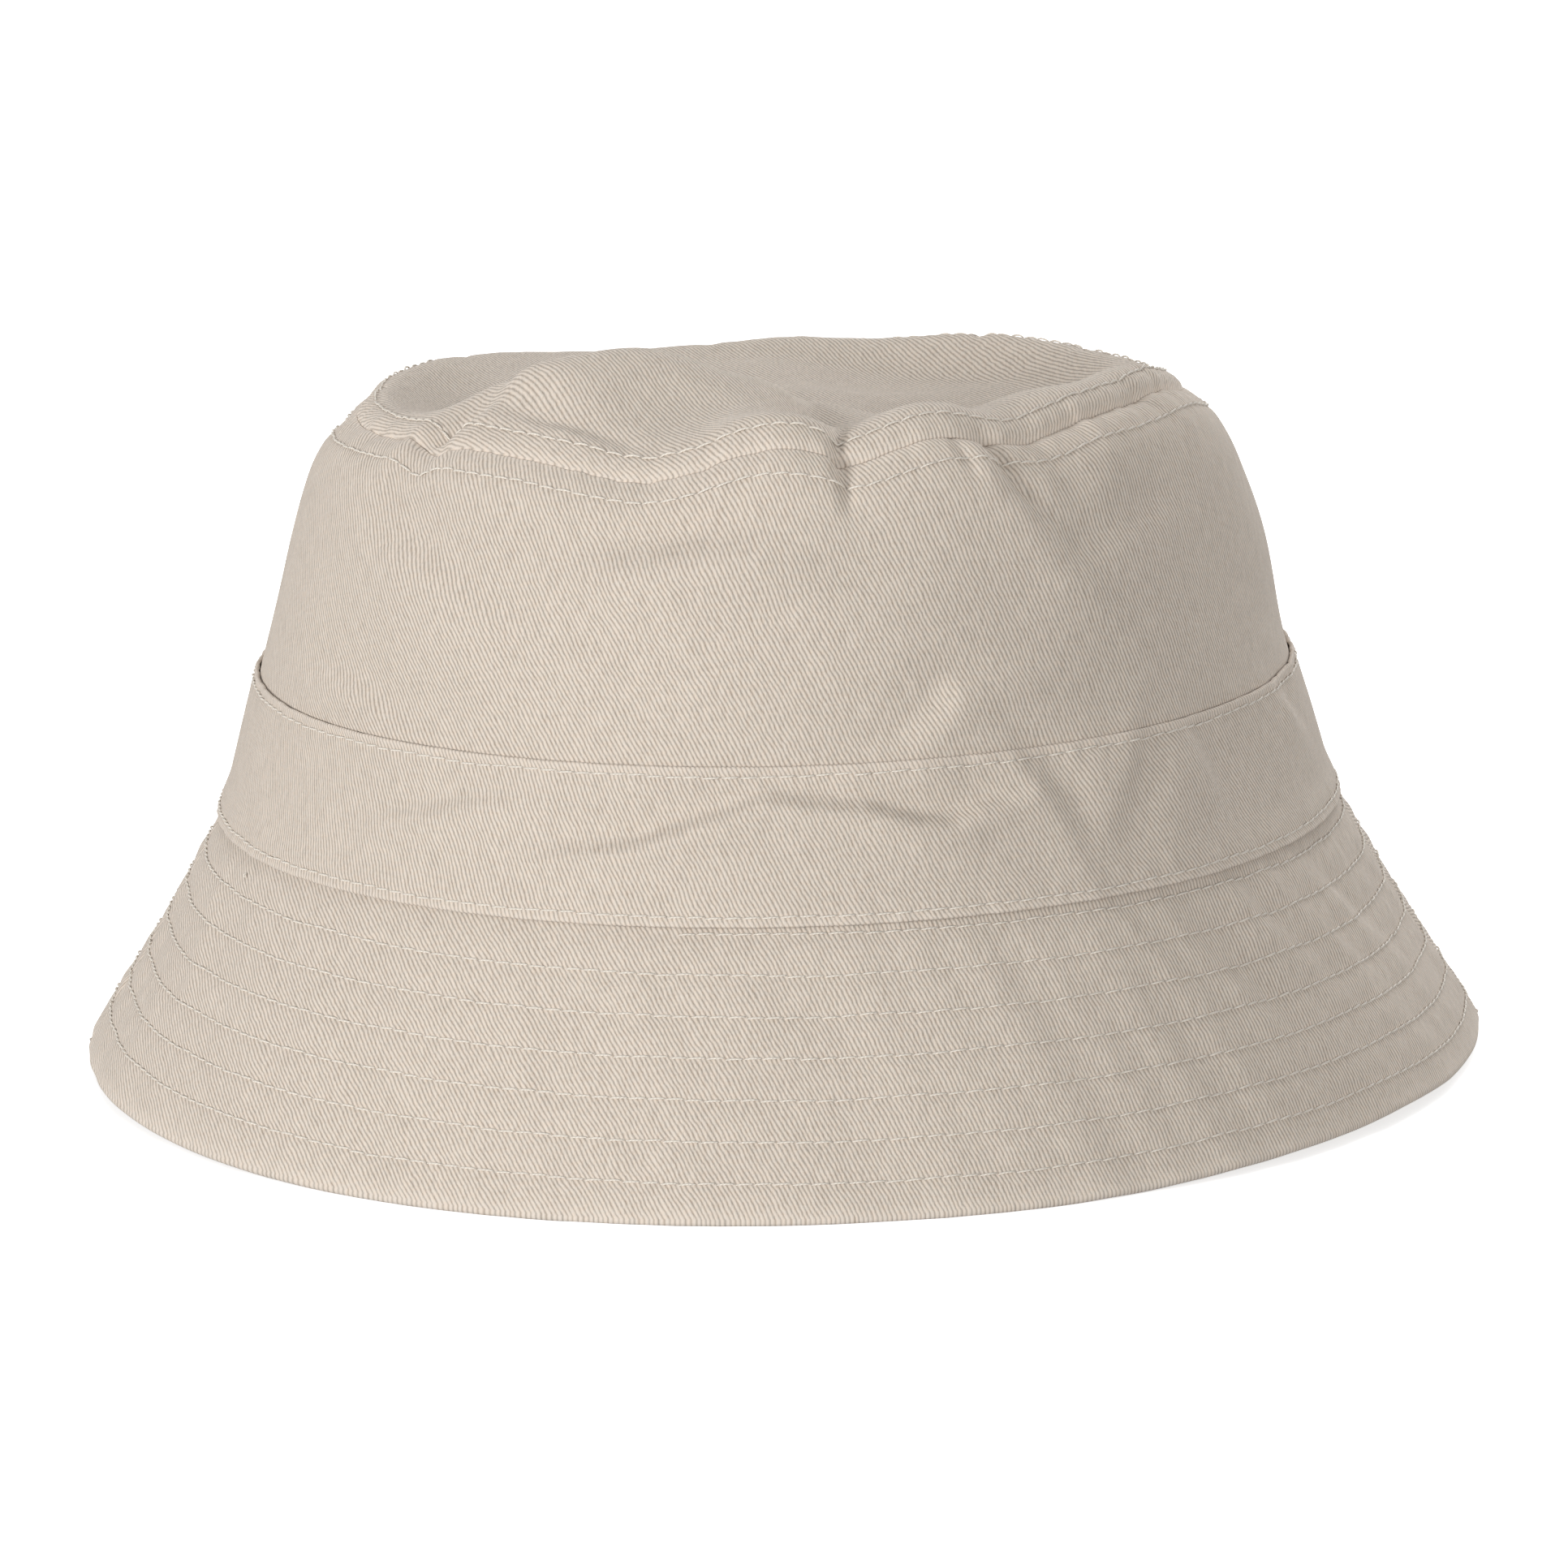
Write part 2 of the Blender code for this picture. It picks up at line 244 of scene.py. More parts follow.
creases = [  # lines that run to the right or down: (bearing, along) points; all in millimetres
    {"line": [(-49, 84.5), (-44, 83.5), (-36, 82.5), (-30, 83), (-22, 81), (-17, 79)],
     "wide": 2.4, "push": -1.2},
    {"line": [(11, 84), (9, 76), (9, 72), (9.5, 64)], "wide": 1.1, "push": -1.6},
    {"line": [(-56, 72.5), (-53, 76), (-50, 82)], "wide": 1.2, "push": -1.6},
    {"line": [(25, 72), (34, 72.6), (50, 72.6), (66, 72.6), (82, 72.6)], "wide": 1.0, "push": -1.0},
    {"line": [(24.5, 72), (25.5, 65)], "wide": 1.0, "push": -0.8},
    {"line": [(29.5, 73), (31, 65), (34, 59)], "wide": 1.4, "push": -1.3},
    {"line": [(31, 64), (35, 57), (39, 50)], "wide": 2.6, "step": 1.3},
    {"line": [(33, 71), (35, 66)], "wide": 1.0, "push": -0.7},
    {"line": [(35, 50), (44, 54), (57, 56)], "wide": 2.4, "step": 1.0},
    {"line": [(-25, 55), (-16, 57), (-11, 58.5), (-5, 58), (3, 56)], "wide": 2.0, "step": 0.7},
    {"line": [(1, 49.5), (8, 51), (16, 52.5)], "wide": 2.2, "step": 0.6},
    {"line": [(-55, 55.5), (-45, 53), (-36, 48), (-26, 44.5)], "wide": 2.6, "step": 1.0},
    {"line": [(-62, 31.5), (-57, 31.5), (-50, 29.5), (-43, 26)], "wide": 2.2, "step": 1.2},
    {"line": [(11, 25.5), (14, 27), (17.6, 31), (20, 35), (25, 35.5)], "wide": 2.2, "step": 1.3},
    {"line": [(-23, 9), (-15, 11), (-10, 13.8), (-6, 16), (-1, 19), (3, 18)], "wide": 1.5, "step": 1.7},
    {"line": [(3, 17.5), (9, 16.8), (15, 13.8), (18.4, 13.5), (21, 15.2), (25, 16)],
     "wide": 1.5, "step": 1.8},
    {"line": [(-46, 10.5), (-38, 14), (-33, 16.2), (-27, 18)], "wide": 1.8, "step": 1.0},
    {"line": [(26, 24), (28, 19.5), (31, 12), (32, 7)], "wide": 1.8, "step": 1.0},
    {"line": [(43, 26), (40.5, 18.5), (38, 12)], "wide": 1.9, "step": 1.2},
    {"line": [(49, 22), (52, 14), (53, 8)], "wide": 2.6, "step": 1.0},
    {"line": [(72, 21), (75, 16)], "wide": 2.2, "step": 1.0},
    {"line": [(34, -3), (37, -11), (40, -20)], "wide": 2.0, "step": 0.5},
    {"line": [(41, -6), (44, -16), (49, -29)], "wide": 2.0, "step": 0.6},
    {"line": [(50, -2), (53, -11), (58, -24)], "wide": 2.0, "step": 0.7},
    {"line": [(57, -3), (61, -14), (66, -27)], "wide": 2.0, "step": 0.7},
    {"line": [(64, -4), (69, -15), (75, -28)], "wide": 2.2, "step": 0.7},
    {"line": [(-46, -18), (-41, -32)], "wide": 2.4, "step": 0.4},
    {"line": [(-72, -8), (-67, -26)], "wide": 2.4, "step": 0.5},
    {"line": [(104, 84), (101, 74), (100, 62)], "wide": 1.4, "push": -1.2},
    {"line": [(140, 62), (152, 57), (164, 55)], "wide": 2.6, "step": 1.2},
    {"line": [(196, 40), (208, 45), (222, 44)], "wide": 2.8, "step": 1.2},
    {"line": [(168, 17), (180, 13), (192, 17)], "wide": 2.0, "step": 1.2},
    {"line": [(232, 18), (244, 12)], "wide": 2.0, "step": 1.0},
]

seamWave = [  # the tip seam's rise and fall round the hat: bearing, spread, millimetres
    (-52, 11, 1.8),
    (-52, 2.6, -2.2),
    (-33, 8, 1.4),
    (-19, 9, -1.0),
    (-1.5, 6, 4.4),
    (6, 4, 1.4),
    (10.5, 3, -1.4),
    (23, 8, 3.8),
    (35, 5, -2.0),
    (46, 12, 2.4),
    (68, 9, 2.8),
    (104, 14, -1.6),
    (146, 12, 1.8),
    (-160, 13, -1.6),
    (-118, 14, 1.4),
]

tipHeaps = [  # heaps and hollows: x, y, reach across, reach along, turn in degrees, rise; millimetres
    (-27.0, -35.0, 25.0, 12.0, 22, 10.2),
    (-11.0, -43.0, 12.0, 10.0, -26, 3.0),
    (-56.0, 4.0, 13.0, 30.0, 4, -3.6),
    (-42.0, -50.0, 12.0, 3.8, -36, -1.0),
    (9.0, -44.0, 11.0, 10.0, 30, -3.2),
    (32.0, -48.0, 23.0, 9.0, -24, 1.6),
    (8.0, -6.0, 34.0, 20.0, -12, -6.0),
    (34.0, 20.0, 26.0, 26.0, 24, -4.0),
    (33.0, 48.0, 30.0, 20.0, -8, -3.6),
    (-22.0, 33.0, 29.0, 18.0, -18, -2.4),
    (26.0, 20.0, 26.0, 42.0, 12, -2.4),
    (-12.0, 12.0, 26.0, 5.0, 14, 1.2),
    (20.0, 2.0, 30.0, 4.5, -10, 1.0),
    (26.0, 33.0, 26.0, 5.0, 6, 0.9),
    (60.0, -6.0, 7.0, 26.0, 0, 1.2),
    (-47.0, 33.0, 12.0, 17.0, -36, 1.2),
]


crownForm = {
    "seamDraw": 0.0013,        # how deep the tip seam draws the cloth in
    "seamDrawReach": 0.0038,
    "seamGroove": 0.00045,
    "rowGroove": 0.00022,
    "bulge": 0.0012,           # of the crown above the band
    "uneven": 0.0005,
    "brimSwell": 0.0005,
    "flutes": 0.00022,
    "backSink": 0.0036,        # how much lower the crown is at the back
    "sideRise": 0.0028,
    "hemRise": 0.0021,         # lift of the hem at the two sides
}


def degreesApart(bearing, centre):
    return (np.degrees(bearing) - centre + 180.0) % 360.0 - 180.0


def radiusAt(along):
    marks = [-brimLength, 0.0, wallLength, seamAlong, flatAlong, crownAlong]
    return np.interp(along, marks, [0.1200, 0.0945, 0.0797, 0.0716, 0.0610, 0.0])


def creaseField(bearing, along):
    push = np.zeros(np.broadcast(bearing, along).shape)
    radius = radiusAt(along)
    for crease in creases:
        line = np.array(crease["line"], float)
        ups = line[:, 1] * mm
        middle = line[:, 0].mean()
        x = np.radians(degreesApart(bearing, middle)) * radius
        xs = np.radians(line[:, 0] - middle) * radiusAt(ups)
        steps = np.hypot(np.diff(xs), np.diff(ups))
        start = np.concatenate([[0.0], np.cumsum(steps)])
        best = np.full(push.shape, 1.0)
        above = np.zeros(push.shape)
        reached = np.zeros(push.shape)
        for i, step in enumerate(steps):
            wayX, wayY = (xs[i + 1] - xs[i]) / step, (ups[i + 1] - ups[i]) / step
            t = np.clip((x - xs[i]) * wayX + (along - ups[i]) * wayY, 0, step)
            far = np.hypot(x - xs[i] - t * wayX, along - ups[i] - t * wayY)
            nearer = far < best
            best = np.where(nearer, far, best)
            above = np.where(nearer, (along - ups[i]) * wayX - (x - xs[i]) * wayY, above)
            reached = np.where(nearer, (start[i] + t) / start[-1], reached)
        fade = np.sin(np.pi * (0.12 + 0.76 * reached)) ** 0.8
        wide = crease["wide"] * mm
        if "step" in crease:
            slope = np.tanh(above / wide) * np.exp(-((best / (3.2 * wide)) ** 2))
            push = push - crease["step"] * mm * fade * slope
        else:
            push = push + crease["push"] * mm * fade * np.exp(-((best / wide) ** 2))
    return push


def pushField(bearing, along):  # how far the cloth stands out from the smooth shape
    push = creaseField(bearing, along)
    radius = radiusAt(along)
    for centre, height, halfWide, halfHigh, turn, out in folds:
        across = np.radians(degreesApart(bearing, centre)) * radius
        up = along - height * mm
        turn = math.radians(turn)
        a = (across * math.cos(turn) + up * math.sin(turn)) / (halfWide * mm)
        b = (-across * math.sin(turn) + up * math.cos(turn)) / (halfHigh * mm)
        push = push + out * mm * np.exp(-0.5 * (a * a + b * b))
    fromSeam = (along - seamAlong + 0.0004) / crownForm["seamDrawReach"]
    push = push - crownForm["seamDraw"] * np.exp(-(fromSeam ** 2))
    onCrown = smooth(along, 0.004, 0.030) * smooth(-along, -seamAlong - 0.004, -seamAlong + 0.030)
    slow = ripple(bearing, 3, 3, shift=40 * along) * np.sin(70 * along + ripple(bearing, 2, 8))
    push = push + crownForm["uneven"] * onCrown * slow
    push = push + crownForm["bulge"] * np.sin(np.pi * np.clip((along - 0.018) / 0.048, 0, 1)) ** 2
    onBrim = smooth(-along, 0.004, 0.030)
    push = push + crownForm["brimSwell"] * onBrim * ripple(bearing, 4, 5) * np.cos(26 * along)
    flutes = ripple(bearing, 12, 7, waves=4, first=1.6, shift=34 * along)
    push = push + crownForm["flutes"] * smooth(-along, 0.002, 0.012) * flutes
    return push


def liftField(bearing, along):  # how far the crown is raised or has sunk, most at the tip
    upper = smooth(along, 0.030, seamAlong)
    inward = np.clip((crownAlong - along) / (crownAlong - seamAlong), 0, 1)  # 0 in the middle of the tip
    side = np.sin(bearing) * inward
    back = (0.5 - 0.5 * np.cos(bearing) * inward) ** 1.5
    lift = 0.0015 * side + crownForm["sideRise"] * side ** 2 * (1 - 0.6 * back) - crownForm["backSink"] * back
    lift = lift * upper
    lift = lift - 0.0020 * upper * back * smooth(side, 0.0, 0.35)
    edge = smooth(-along, 0.020, brimLength)
    lift = lift + edge * (crownForm["hemRise"] * np.abs(side) ** 5 + 0.0012 * smooth(side, 0.30, 0.75))
    lift = lift - 0.0014 * edge * smooth(side, 0.85, 1.0)
    near = smooth(along, seamAlong - 0.026, seamAlong)
    near = near * (1.0 - 0.65 * smooth(along, seamAlong + 0.006, seamAlong + 0.030))
    near = near * smooth(inward, 0.0, 0.5)
    lift = lift + 0.0007 * near * (1 - back)
    for centre, spread, rise in seamWave:
        lift = lift + near * rise * mm * np.exp(-0.5 * (degreesApart(bearing, centre) / spread) ** 2)
    return lift


def heapField(x, y, along):
    inside = smooth(along, seamAlong + 0.003, seamAlong + 0.019)
    rise = np.zeros_like(x)
    for cx, cy, reachX, reachY, turn, height in tipHeaps:
        turn = math.radians(turn)
        dx, dy = x - cx * mm, y - cy * mm
        a = (dx * math.cos(turn) + dy * math.sin(turn)) / (reachX * mm)
        b = (-dx * math.sin(turn) + dy * math.cos(turn)) / (reachY * mm)
        rise = rise + height * mm * np.exp(-0.5 * (a * a + b * b))
    wrinkle = 0.0004 * wander(90 * x + 40 * y, 21) * wander(70 * y - 30 * x, 22)
    return inside * (rise + wrinkle)


puckers = {  # small gathers where rows of stitches draw the cloth in
    "tipSeam": {"reach": 0.0052, "waves": 74, "height": 0.00034, "seed": 31},
    "bandSeam": {"reach": 0.0040, "waves": 96, "height": 0.00012, "seed": 32},
}

brimRows = {                      # one spiral of stitching, winding down the brim
    "count": 7,
    "first": 0.0033,              # from the seam to the spiral's start
    "margin": 0.0073,             # from the hem up to where the last turn starts
    "start": math.radians(-10.0),
    "lastTurn": math.radians(190.0),
    "groove": 0.00011,            # how deep a row draws the cloth in
    "puff": 0.00013,              # how far the cloth swells between rows
}
brimRows["pitch"] = (brimLength - brimRows["first"] - brimRows["margin"]) / (brimRows["count"] - 1)

tipRow = 0.0050                   # stitch rows on each side of the tip seam


def brimRow(turn, bearing):  # height of a turn of the spiral at each bearing from its start
    wound = turn + (bearing - brimRows["start"]) / wholeTurn
    return -(brimRows["first"] + wound * brimRows["pitch"])


def quiltField(bearing, along):
    rows = brimRows
    wound = np.mod(bearing - rows["start"], wholeTurn)
    cell = (-along - rows["first"]) / rows["pitch"] - wound / wholeTurn
    lowest = -smooth(wound, wholeTurn - 0.1, wholeTurn)
    last = rows["count"] - 1 - smooth(wound, rows["lastTurn"] - 0.05, rows["lastTurn"])
    inRows = smooth(cell - lowest, -0.6, 0.0) * (1 - smooth(cell - last, 0.0, 0.6))
    nearest = cell - np.round(cell)
    groove = np.exp(-((nearest * rows["pitch"] / 0.0009) ** 2))
    puff = 0.5 - 0.5 * np.cos(wholeTurn * cell)
    strip = np.floor(cell) * wholeTurn + wound
    crinkle = wander(strip * 16, 41, waves=6, first=2.2)
    side = 0.35 + 0.65 * smooth(np.abs(np.sin(bearing)), 0.50, 0.95)
    relief = rows["puff"] * puff * (1 + 0.3 * crinkle) - rows["groove"] * groove
    return inRows * (relief + 0.00016 * side * crinkle * puff)


def puckerField(bearing, along):  # fine relief that each layer near a row of stitches shares
    tip = puckers["tipSeam"]
    gather = ripple(bearing, tip["waves"] / 6, tip["seed"], waves=6, first=2.0)
    distance = np.abs(along - seamAlong)
    relief = tip["height"] * gather * np.exp(-((distance / tip["reach"]) ** 2))
    for offset in (-tipRow, tipRow):
        relief = relief - crownForm["rowGroove"] * np.exp(-(((along - seamAlong - offset) / 0.0011) ** 2))
    relief = relief - crownForm["seamGroove"] * np.exp(-((distance / 0.0008) ** 2))
    return relief + quiltField(bearing, along)


def place(part, bearing, quiet=1.0):  # rows go up the section, columns go round from the front
    along = part["along"][:, None]
    theta = np.asarray(bearing, float)[None, :]
    push = pushField(theta, along) + quiet * puckerField(theta, along)
    r = part["point"][:, 0][:, None] + push * part["normal"][:, 0][:, None]
    z = part["point"][:, 1][:, None] + push * part["normal"][:, 1][:, None] + liftField(theta, along)
    x = r * np.sin(theta)
    y = -shape["depthRatio"] * r * np.cos(theta)
    z = z + heapField(x, y, np.broadcast_to(along, x.shape))
    return np.stack([x, y, z], axis=-1)


def coneCut(along, bearing, lean, middle):  # where a point lay in the flat panel, grain up its middle
    apex = shape["seamHalfWidth"] / math.sin(lean)
    radius = (apex - along)[:, None]
    angle = (bearing - middle)[None, :] * math.sin(lean) * (1 + shape["depthRatio"]) / 2
    return np.stack([radius * np.sin(angle), apex - radius * np.cos(angle)], axis=-1)


def stripCut(along, bearing, radius=None):  # a straight strip, its grain across its width
    radius = radius or shape["seamHalfWidth"] * (1 + shape["depthRatio"]) / 2
    across = np.broadcast_to(bearing[None, :] * radius, (len(along), len(bearing)))
    up = np.broadcast_to(along[:, None], across.shape)
    return np.stack([across, up], axis=-1)


def gridObject(name, points, flat, wrap=False, flip=False, edge=None):
    rows, cols = points.shape[:2]
    index = np.arange(rows * cols).reshape(rows, cols)
    if wrap:
        index = np.concatenate([index, index[:, :1]], axis=1)
    quads = np.stack([index[:-1, :-1], index[:-1, 1:], index[1:, 1:], index[1:, :-1]], axis=-1)
    quads = quads.reshape(-1, 4)
    if flip:
        quads = quads[:, ::-1]
    mesh = bpy.data.meshes.new(name)
    mesh.from_pydata(points.reshape(-1, 3).tolist(), [], quads.tolist())
    layer = mesh.uv_layers.new(name="Flat")
    corners = np.zeros(len(mesh.loops), dtype=np.int32)
    mesh.loops.foreach_get("vertex_index", corners)
    layer.data.foreach_set("uv", flat.reshape(-1, 2)[corners].ravel())
    # per-point strength of the painted highlight along folded edges
    edgeHighlight = mesh.attributes.new("edgeHighlight", "FLOAT", "POINT")
    if edge is not None:
        edgeHighlight.data.foreach_set("value", np.broadcast_to(edge, (rows, cols)).ravel().astype(np.float32))
    mesh.shade_smooth()
    obj = bpy.data.objects.new(name, mesh)
    bpy.context.scene.collection.objects.link(obj)
    return obj


def thicken(obj, thickness, offset=-1.0):
    body = obj.modifiers.new("Thickness", "SOLIDIFY")
    body.thickness = thickness
    body.offset = offset
    body.use_even_offset = False
    return obj


def finishPiece(obj, material, nodes, body="hat"):
    obj.data.materials.append(material)
    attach(obj, body)
    if nodes:
        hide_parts(*nodes)
    return obj


def spread(first, last, cell):
    return np.linspace(first, last, max(2, int(round(abs(last - first) / cell)) + 1))


class Nodes:  # short names for building a node tree

    def __init__(self, tree):
        self.tree = tree

    def add(self, kind, inputs=None, **settings):
        node = self.tree.nodes.new(kind)
        for key, value in settings.items():
            setattr(node, key, value)
        for key, value in (inputs or {}).items():
            socket = node.inputs[key]
            if isinstance(value, bpy.types.NodeSocket):
                self.tree.links.new(value, socket)
            else:
                socket.default_value = value
        return node

    def math(self, operation, a, b=0.0, c=0.0, clamp=False):
        node = self.add("ShaderNodeMath", {0: a, 1: b, 2: c}, operation=operation, use_clamp=clamp)
        return node.outputs[0]

    def ramp(self, value, low, high, first=0.0, last=1.0):
        node = self.add("ShaderNodeMapRange", {"Value": value, "From Min": low, "From Max": high,
                                               "To Min": first, "To Max": last})
        node.interpolation_type = "SMOOTHSTEP"
        return node.outputs["Result"]

    def noise(self, vector, scale, detail=2.0, roughness=0.5):
        node = self.add("ShaderNodeTexNoise", {"Vector": vector, "Scale": scale, "Detail": detail,
                                               "Roughness": roughness})
        return node.outputs["Fac"]

    def mix(self, factor, a, b, blend="MIX"):
        node = self.add("ShaderNodeMix", data_type="RGBA", blend_type=blend)
        for socket, value in ((node.inputs[0], factor), (node.inputs[6], a), (node.inputs[7], b)):
            if isinstance(value, bpy.types.NodeSocket):
                self.tree.links.new(value, socket)
            elif isinstance(value, tuple):
                socket.default_value = (*value, 1.0) if len(value) == 3 else value
            else:
                socket.default_value = value
        return node.outputs[2]

    def vector(self, x, y, z=0.0):
        return self.add("ShaderNodeCombineXYZ", {"X": x, "Y": y, "Z": z}).outputs[0]


def newGroup(name, inputs, outputs):
    group = bpy.data.node_groups.new(name, "ShaderNodeTree")
    for label, kind, default in inputs:
        socket = group.interface.new_socket(label, in_out="INPUT", socket_type=kind)
        if default is not None:
            socket.default_value = default
    for label, kind in outputs:
        group.interface.new_socket(label, in_out="OUTPUT", socket_type=kind)
    maker = Nodes(group)
    return group, maker, maker.add("NodeGroupInput").outputs, maker.add("NodeGroupOutput").inputs


def makeTwillGroup():  # wales, yarns, slubs and mottling from a panel's flat coordinates
    group, make, given, out = newGroup(
        "Twill",
        [("Flat", "NodeSocketVector", None), ("Colour", "NodeSocketColor", (0.6, 0.5, 0.4, 1)),
         ("Shade", "NodeSocketColor", (0.4, 0.3, 0.25, 1)), ("End Pitch", "NodeSocketFloat", 0.0002),
         ("Pick Pitch", "NodeSocketFloat", 0.0004), ("Repeat", "NodeSocketFloat", 4.0),
         ("Wale Strength", "NodeSocketFloat", 1.0), ("Edge Highlight", "NodeSocketFloat", 0.0)],
        [("Colour", "NodeSocketColor"), ("Height", "NodeSocketFloat"), ("Roughness", "NodeSocketFloat")],
    )
    split = make.add("ShaderNodeSeparateXYZ", {0: given["Flat"]}).outputs
    bend = make.noise(given["Flat"], 160.0, 2.0)
    bendFine = make.noise(given["Flat"], 900.0, 2.0)
    shift = make.math("MULTIPLY_ADD", make.math("SUBTRACT", bend, 0.5), 0.0011, 0.0)
    shift = make.math("MULTIPLY_ADD", make.math("SUBTRACT", bendFine, 0.5), 0.00022, shift)
    across = make.math("ADD", split["X"], shift)
    ends = make.math("DIVIDE", across, given["End Pitch"])
    picks = make.math("DIVIDE", split["Y"], given["Pick Pitch"])
    phase = make.math("DIVIDE", make.math("ADD", ends, picks), given["Repeat"])
    wave = make.math("COSINE", make.math("MULTIPLY", phase, wholeTurn))
    wale = make.math("POWER", make.math("MULTIPLY_ADD", wave, 0.5, 0.5, clamp=True), 0.62)
    yarn = make.math("ABSOLUTE", make.math("SINE", make.math("MULTIPLY", ends, math.pi)))
    pick = make.math("ABSOLUTE", make.math("SINE", make.math("MULTIPLY", picks, math.pi)))
    alongEnds = make.vector(make.math("MULTIPLY", ends, 0.45), make.math("MULTIPLY", picks, 0.10))
    streaks = make.noise(alongEnds, 1.0, 3.0)
    alongPicks = make.vector(make.math("MULTIPLY", ends, 0.06), make.math("MULTIPLY", picks, 0.50))
    slubs = make.noise(alongPicks, 1.0, 3.0)
    grains = make.noise(given["Flat"], 2600.0, 3.0, 0.65)
    cloud = make.noise(given["Flat"], 70.0, 3.0, 0.55)
    strong = make.math("MULTIPLY", wale, given["Wale Strength"])
    level = make.math("MULTIPLY_ADD", strong, 0.86, 0.06)
    level = make.math("MULTIPLY_ADD", yarn, 0.12, level)
    level = make.math("MULTIPLY_ADD", make.math("SUBTRACT", streaks, 0.5), 0.70, level)
    level = make.math("MULTIPLY_ADD", make.math("SUBTRACT", slubs, 0.5), 0.30, level)
    level = make.math("MULTIPLY_ADD", make.math("SUBTRACT", grains, 0.5), 0.45, level)
    level = make.math("MULTIPLY_ADD", make.math("SUBTRACT", cloud, 0.5), 0.12, level)
    # painted highlight: the cloth's colour is made lighter along folded edges
    level = make.math("MULTIPLY_ADD", given["Edge Highlight"], 0.16, level, clamp=True)
    tone = make.mix(level, given["Shade"], given["Colour"])
    warm = make.ramp(make.noise(given["Flat"], 1150.0, 2.0), 0.35, 0.68)
    tone = make.mix(make.math("MULTIPLY", warm, 0.30), tone, (0.60, 0.47, 0.38), "SOFT_LIGHT")
    make.tree.links.new(tone, out["Colour"])
    height = make.math("MULTIPLY_ADD", yarn, 0.20, make.math("MULTIPLY", strong, 0.62))
    height = make.math("MULTIPLY_ADD", pick, 0.10, height)
    height = make.math("MULTIPLY_ADD", streaks, 0.30, height)
    height = make.math("MULTIPLY_ADD", grains, 0.22, height)
    make.tree.links.new(height, out["Height"])
    rough = make.math("MULTIPLY_ADD", level, -0.10, 0.94)
    make.tree.links.new(rough, out["Roughness"])
    return group


def makePlainGroup():  # yarns over and under, one by one
    group, make, given, out = newGroup(
        "Plain Weave",
        [("Flat", "NodeSocketVector", None), ("Colour", "NodeSocketColor", (0.6, 0.5, 0.4, 1)),
         ("Shade", "NodeSocketColor", (0.4, 0.3, 0.25, 1)), ("Pitch", "NodeSocketFloat", 0.0004),
         ("Ribs", "NodeSocketFloat", 1.0)],
        [("Colour", "NodeSocketColor"), ("Height", "NodeSocketFloat"), ("Roughness", "NodeSocketFloat")],
    )
    split = make.add("ShaderNodeSeparateXYZ", {0: given["Flat"]}).outputs
    bend = make.math("MULTIPLY_ADD", make.noise(given["Flat"], 500.0, 2.0), 0.0004, -0.0002)
    ends = make.math("DIVIDE", make.math("ADD", split["X"], bend), given["Pitch"])
    picks = make.math("DIVIDE", make.math("MULTIPLY", split["Y"], given["Ribs"]), given["Pitch"])
    over = make.math("MULTIPLY", make.math("SINE", make.math("MULTIPLY", ends, math.pi)),
                     make.math("SINE", make.math("MULTIPLY", picks, math.pi)))
    yarn = make.math("ABSOLUTE", make.math("SINE", make.math("MULTIPLY", ends, math.pi)))
    pick = make.math("ABSOLUTE", make.math("SINE", make.math("MULTIPLY", picks, math.pi)))
    grains = make.noise(given["Flat"], 2400.0, 3.0, 0.6)
    level = make.math("MULTIPLY_ADD", over, 0.26, 0.50)
    level = make.math("MULTIPLY_ADD", make.math("MULTIPLY", yarn, pick), 0.30, level)
    level = make.math("MULTIPLY_ADD", make.math("SUBTRACT", grains, 0.5), 0.55, level, clamp=True)
    make.tree.links.new(make.mix(level, given["Shade"], given["Colour"]), out["Colour"])
    height = make.math("MULTIPLY_ADD", yarn, pick, make.math("MULTIPLY", over, 0.35))
    height = make.math("MULTIPLY_ADD", grains, 0.25, height)
    make.tree.links.new(height, out["Height"])
    make.tree.links.new(make.math("MULTIPLY_ADD", level, -0.12, 0.92), out["Roughness"])
    return group


def makeThreadGroup():  # plied thread: x runs along it, y round it
    group, make, given, out = newGroup(
        "Plied Thread",
        [("Flat", "NodeSocketVector", None), ("Colour", "NodeSocketColor", (0.6, 0.5, 0.4, 1)),
         ("Shade", "NodeSocketColor", (0.4, 0.3, 0.25, 1)), ("Twist Pitch", "NodeSocketFloat", 0.0005)],
        [("Colour", "NodeSocketColor"), ("Height", "NodeSocketFloat"), ("Roughness", "NodeSocketFloat")],
    )
    split = make.add("ShaderNodeSeparateXYZ", {0: given["Flat"]}).outputs
    lays = make.math("DIVIDE", split["X"], given["Twist Pitch"])
    turns = make.math("ADD", lays, make.math("MULTIPLY", split["Y"], 2.0))
    ply = make.math("ABSOLUTE", make.math("SINE", make.math("MULTIPLY", turns, math.pi)))
    fibres = make.vector(make.math("MULTIPLY", split["X"], 4000.0), make.math("MULTIPLY", split["Y"], 3.0))
    fluff = make.noise(fibres, 1.0, 3.0)
    level = make.math("MULTIPLY_ADD", ply, 0.55, 0.25)
    level = make.math("MULTIPLY_ADD", make.math("SUBTRACT", fluff, 0.5), 0.5, level, clamp=True)
    make.tree.links.new(make.mix(level, given["Shade"], given["Colour"]), out["Colour"])
    make.tree.links.new(make.math("MULTIPLY_ADD", fluff, 0.3, ply), out["Height"])
    make.tree.links.new(make.math("MULTIPLY_ADD", level, -0.15, 0.72), out["Roughness"])
    return group


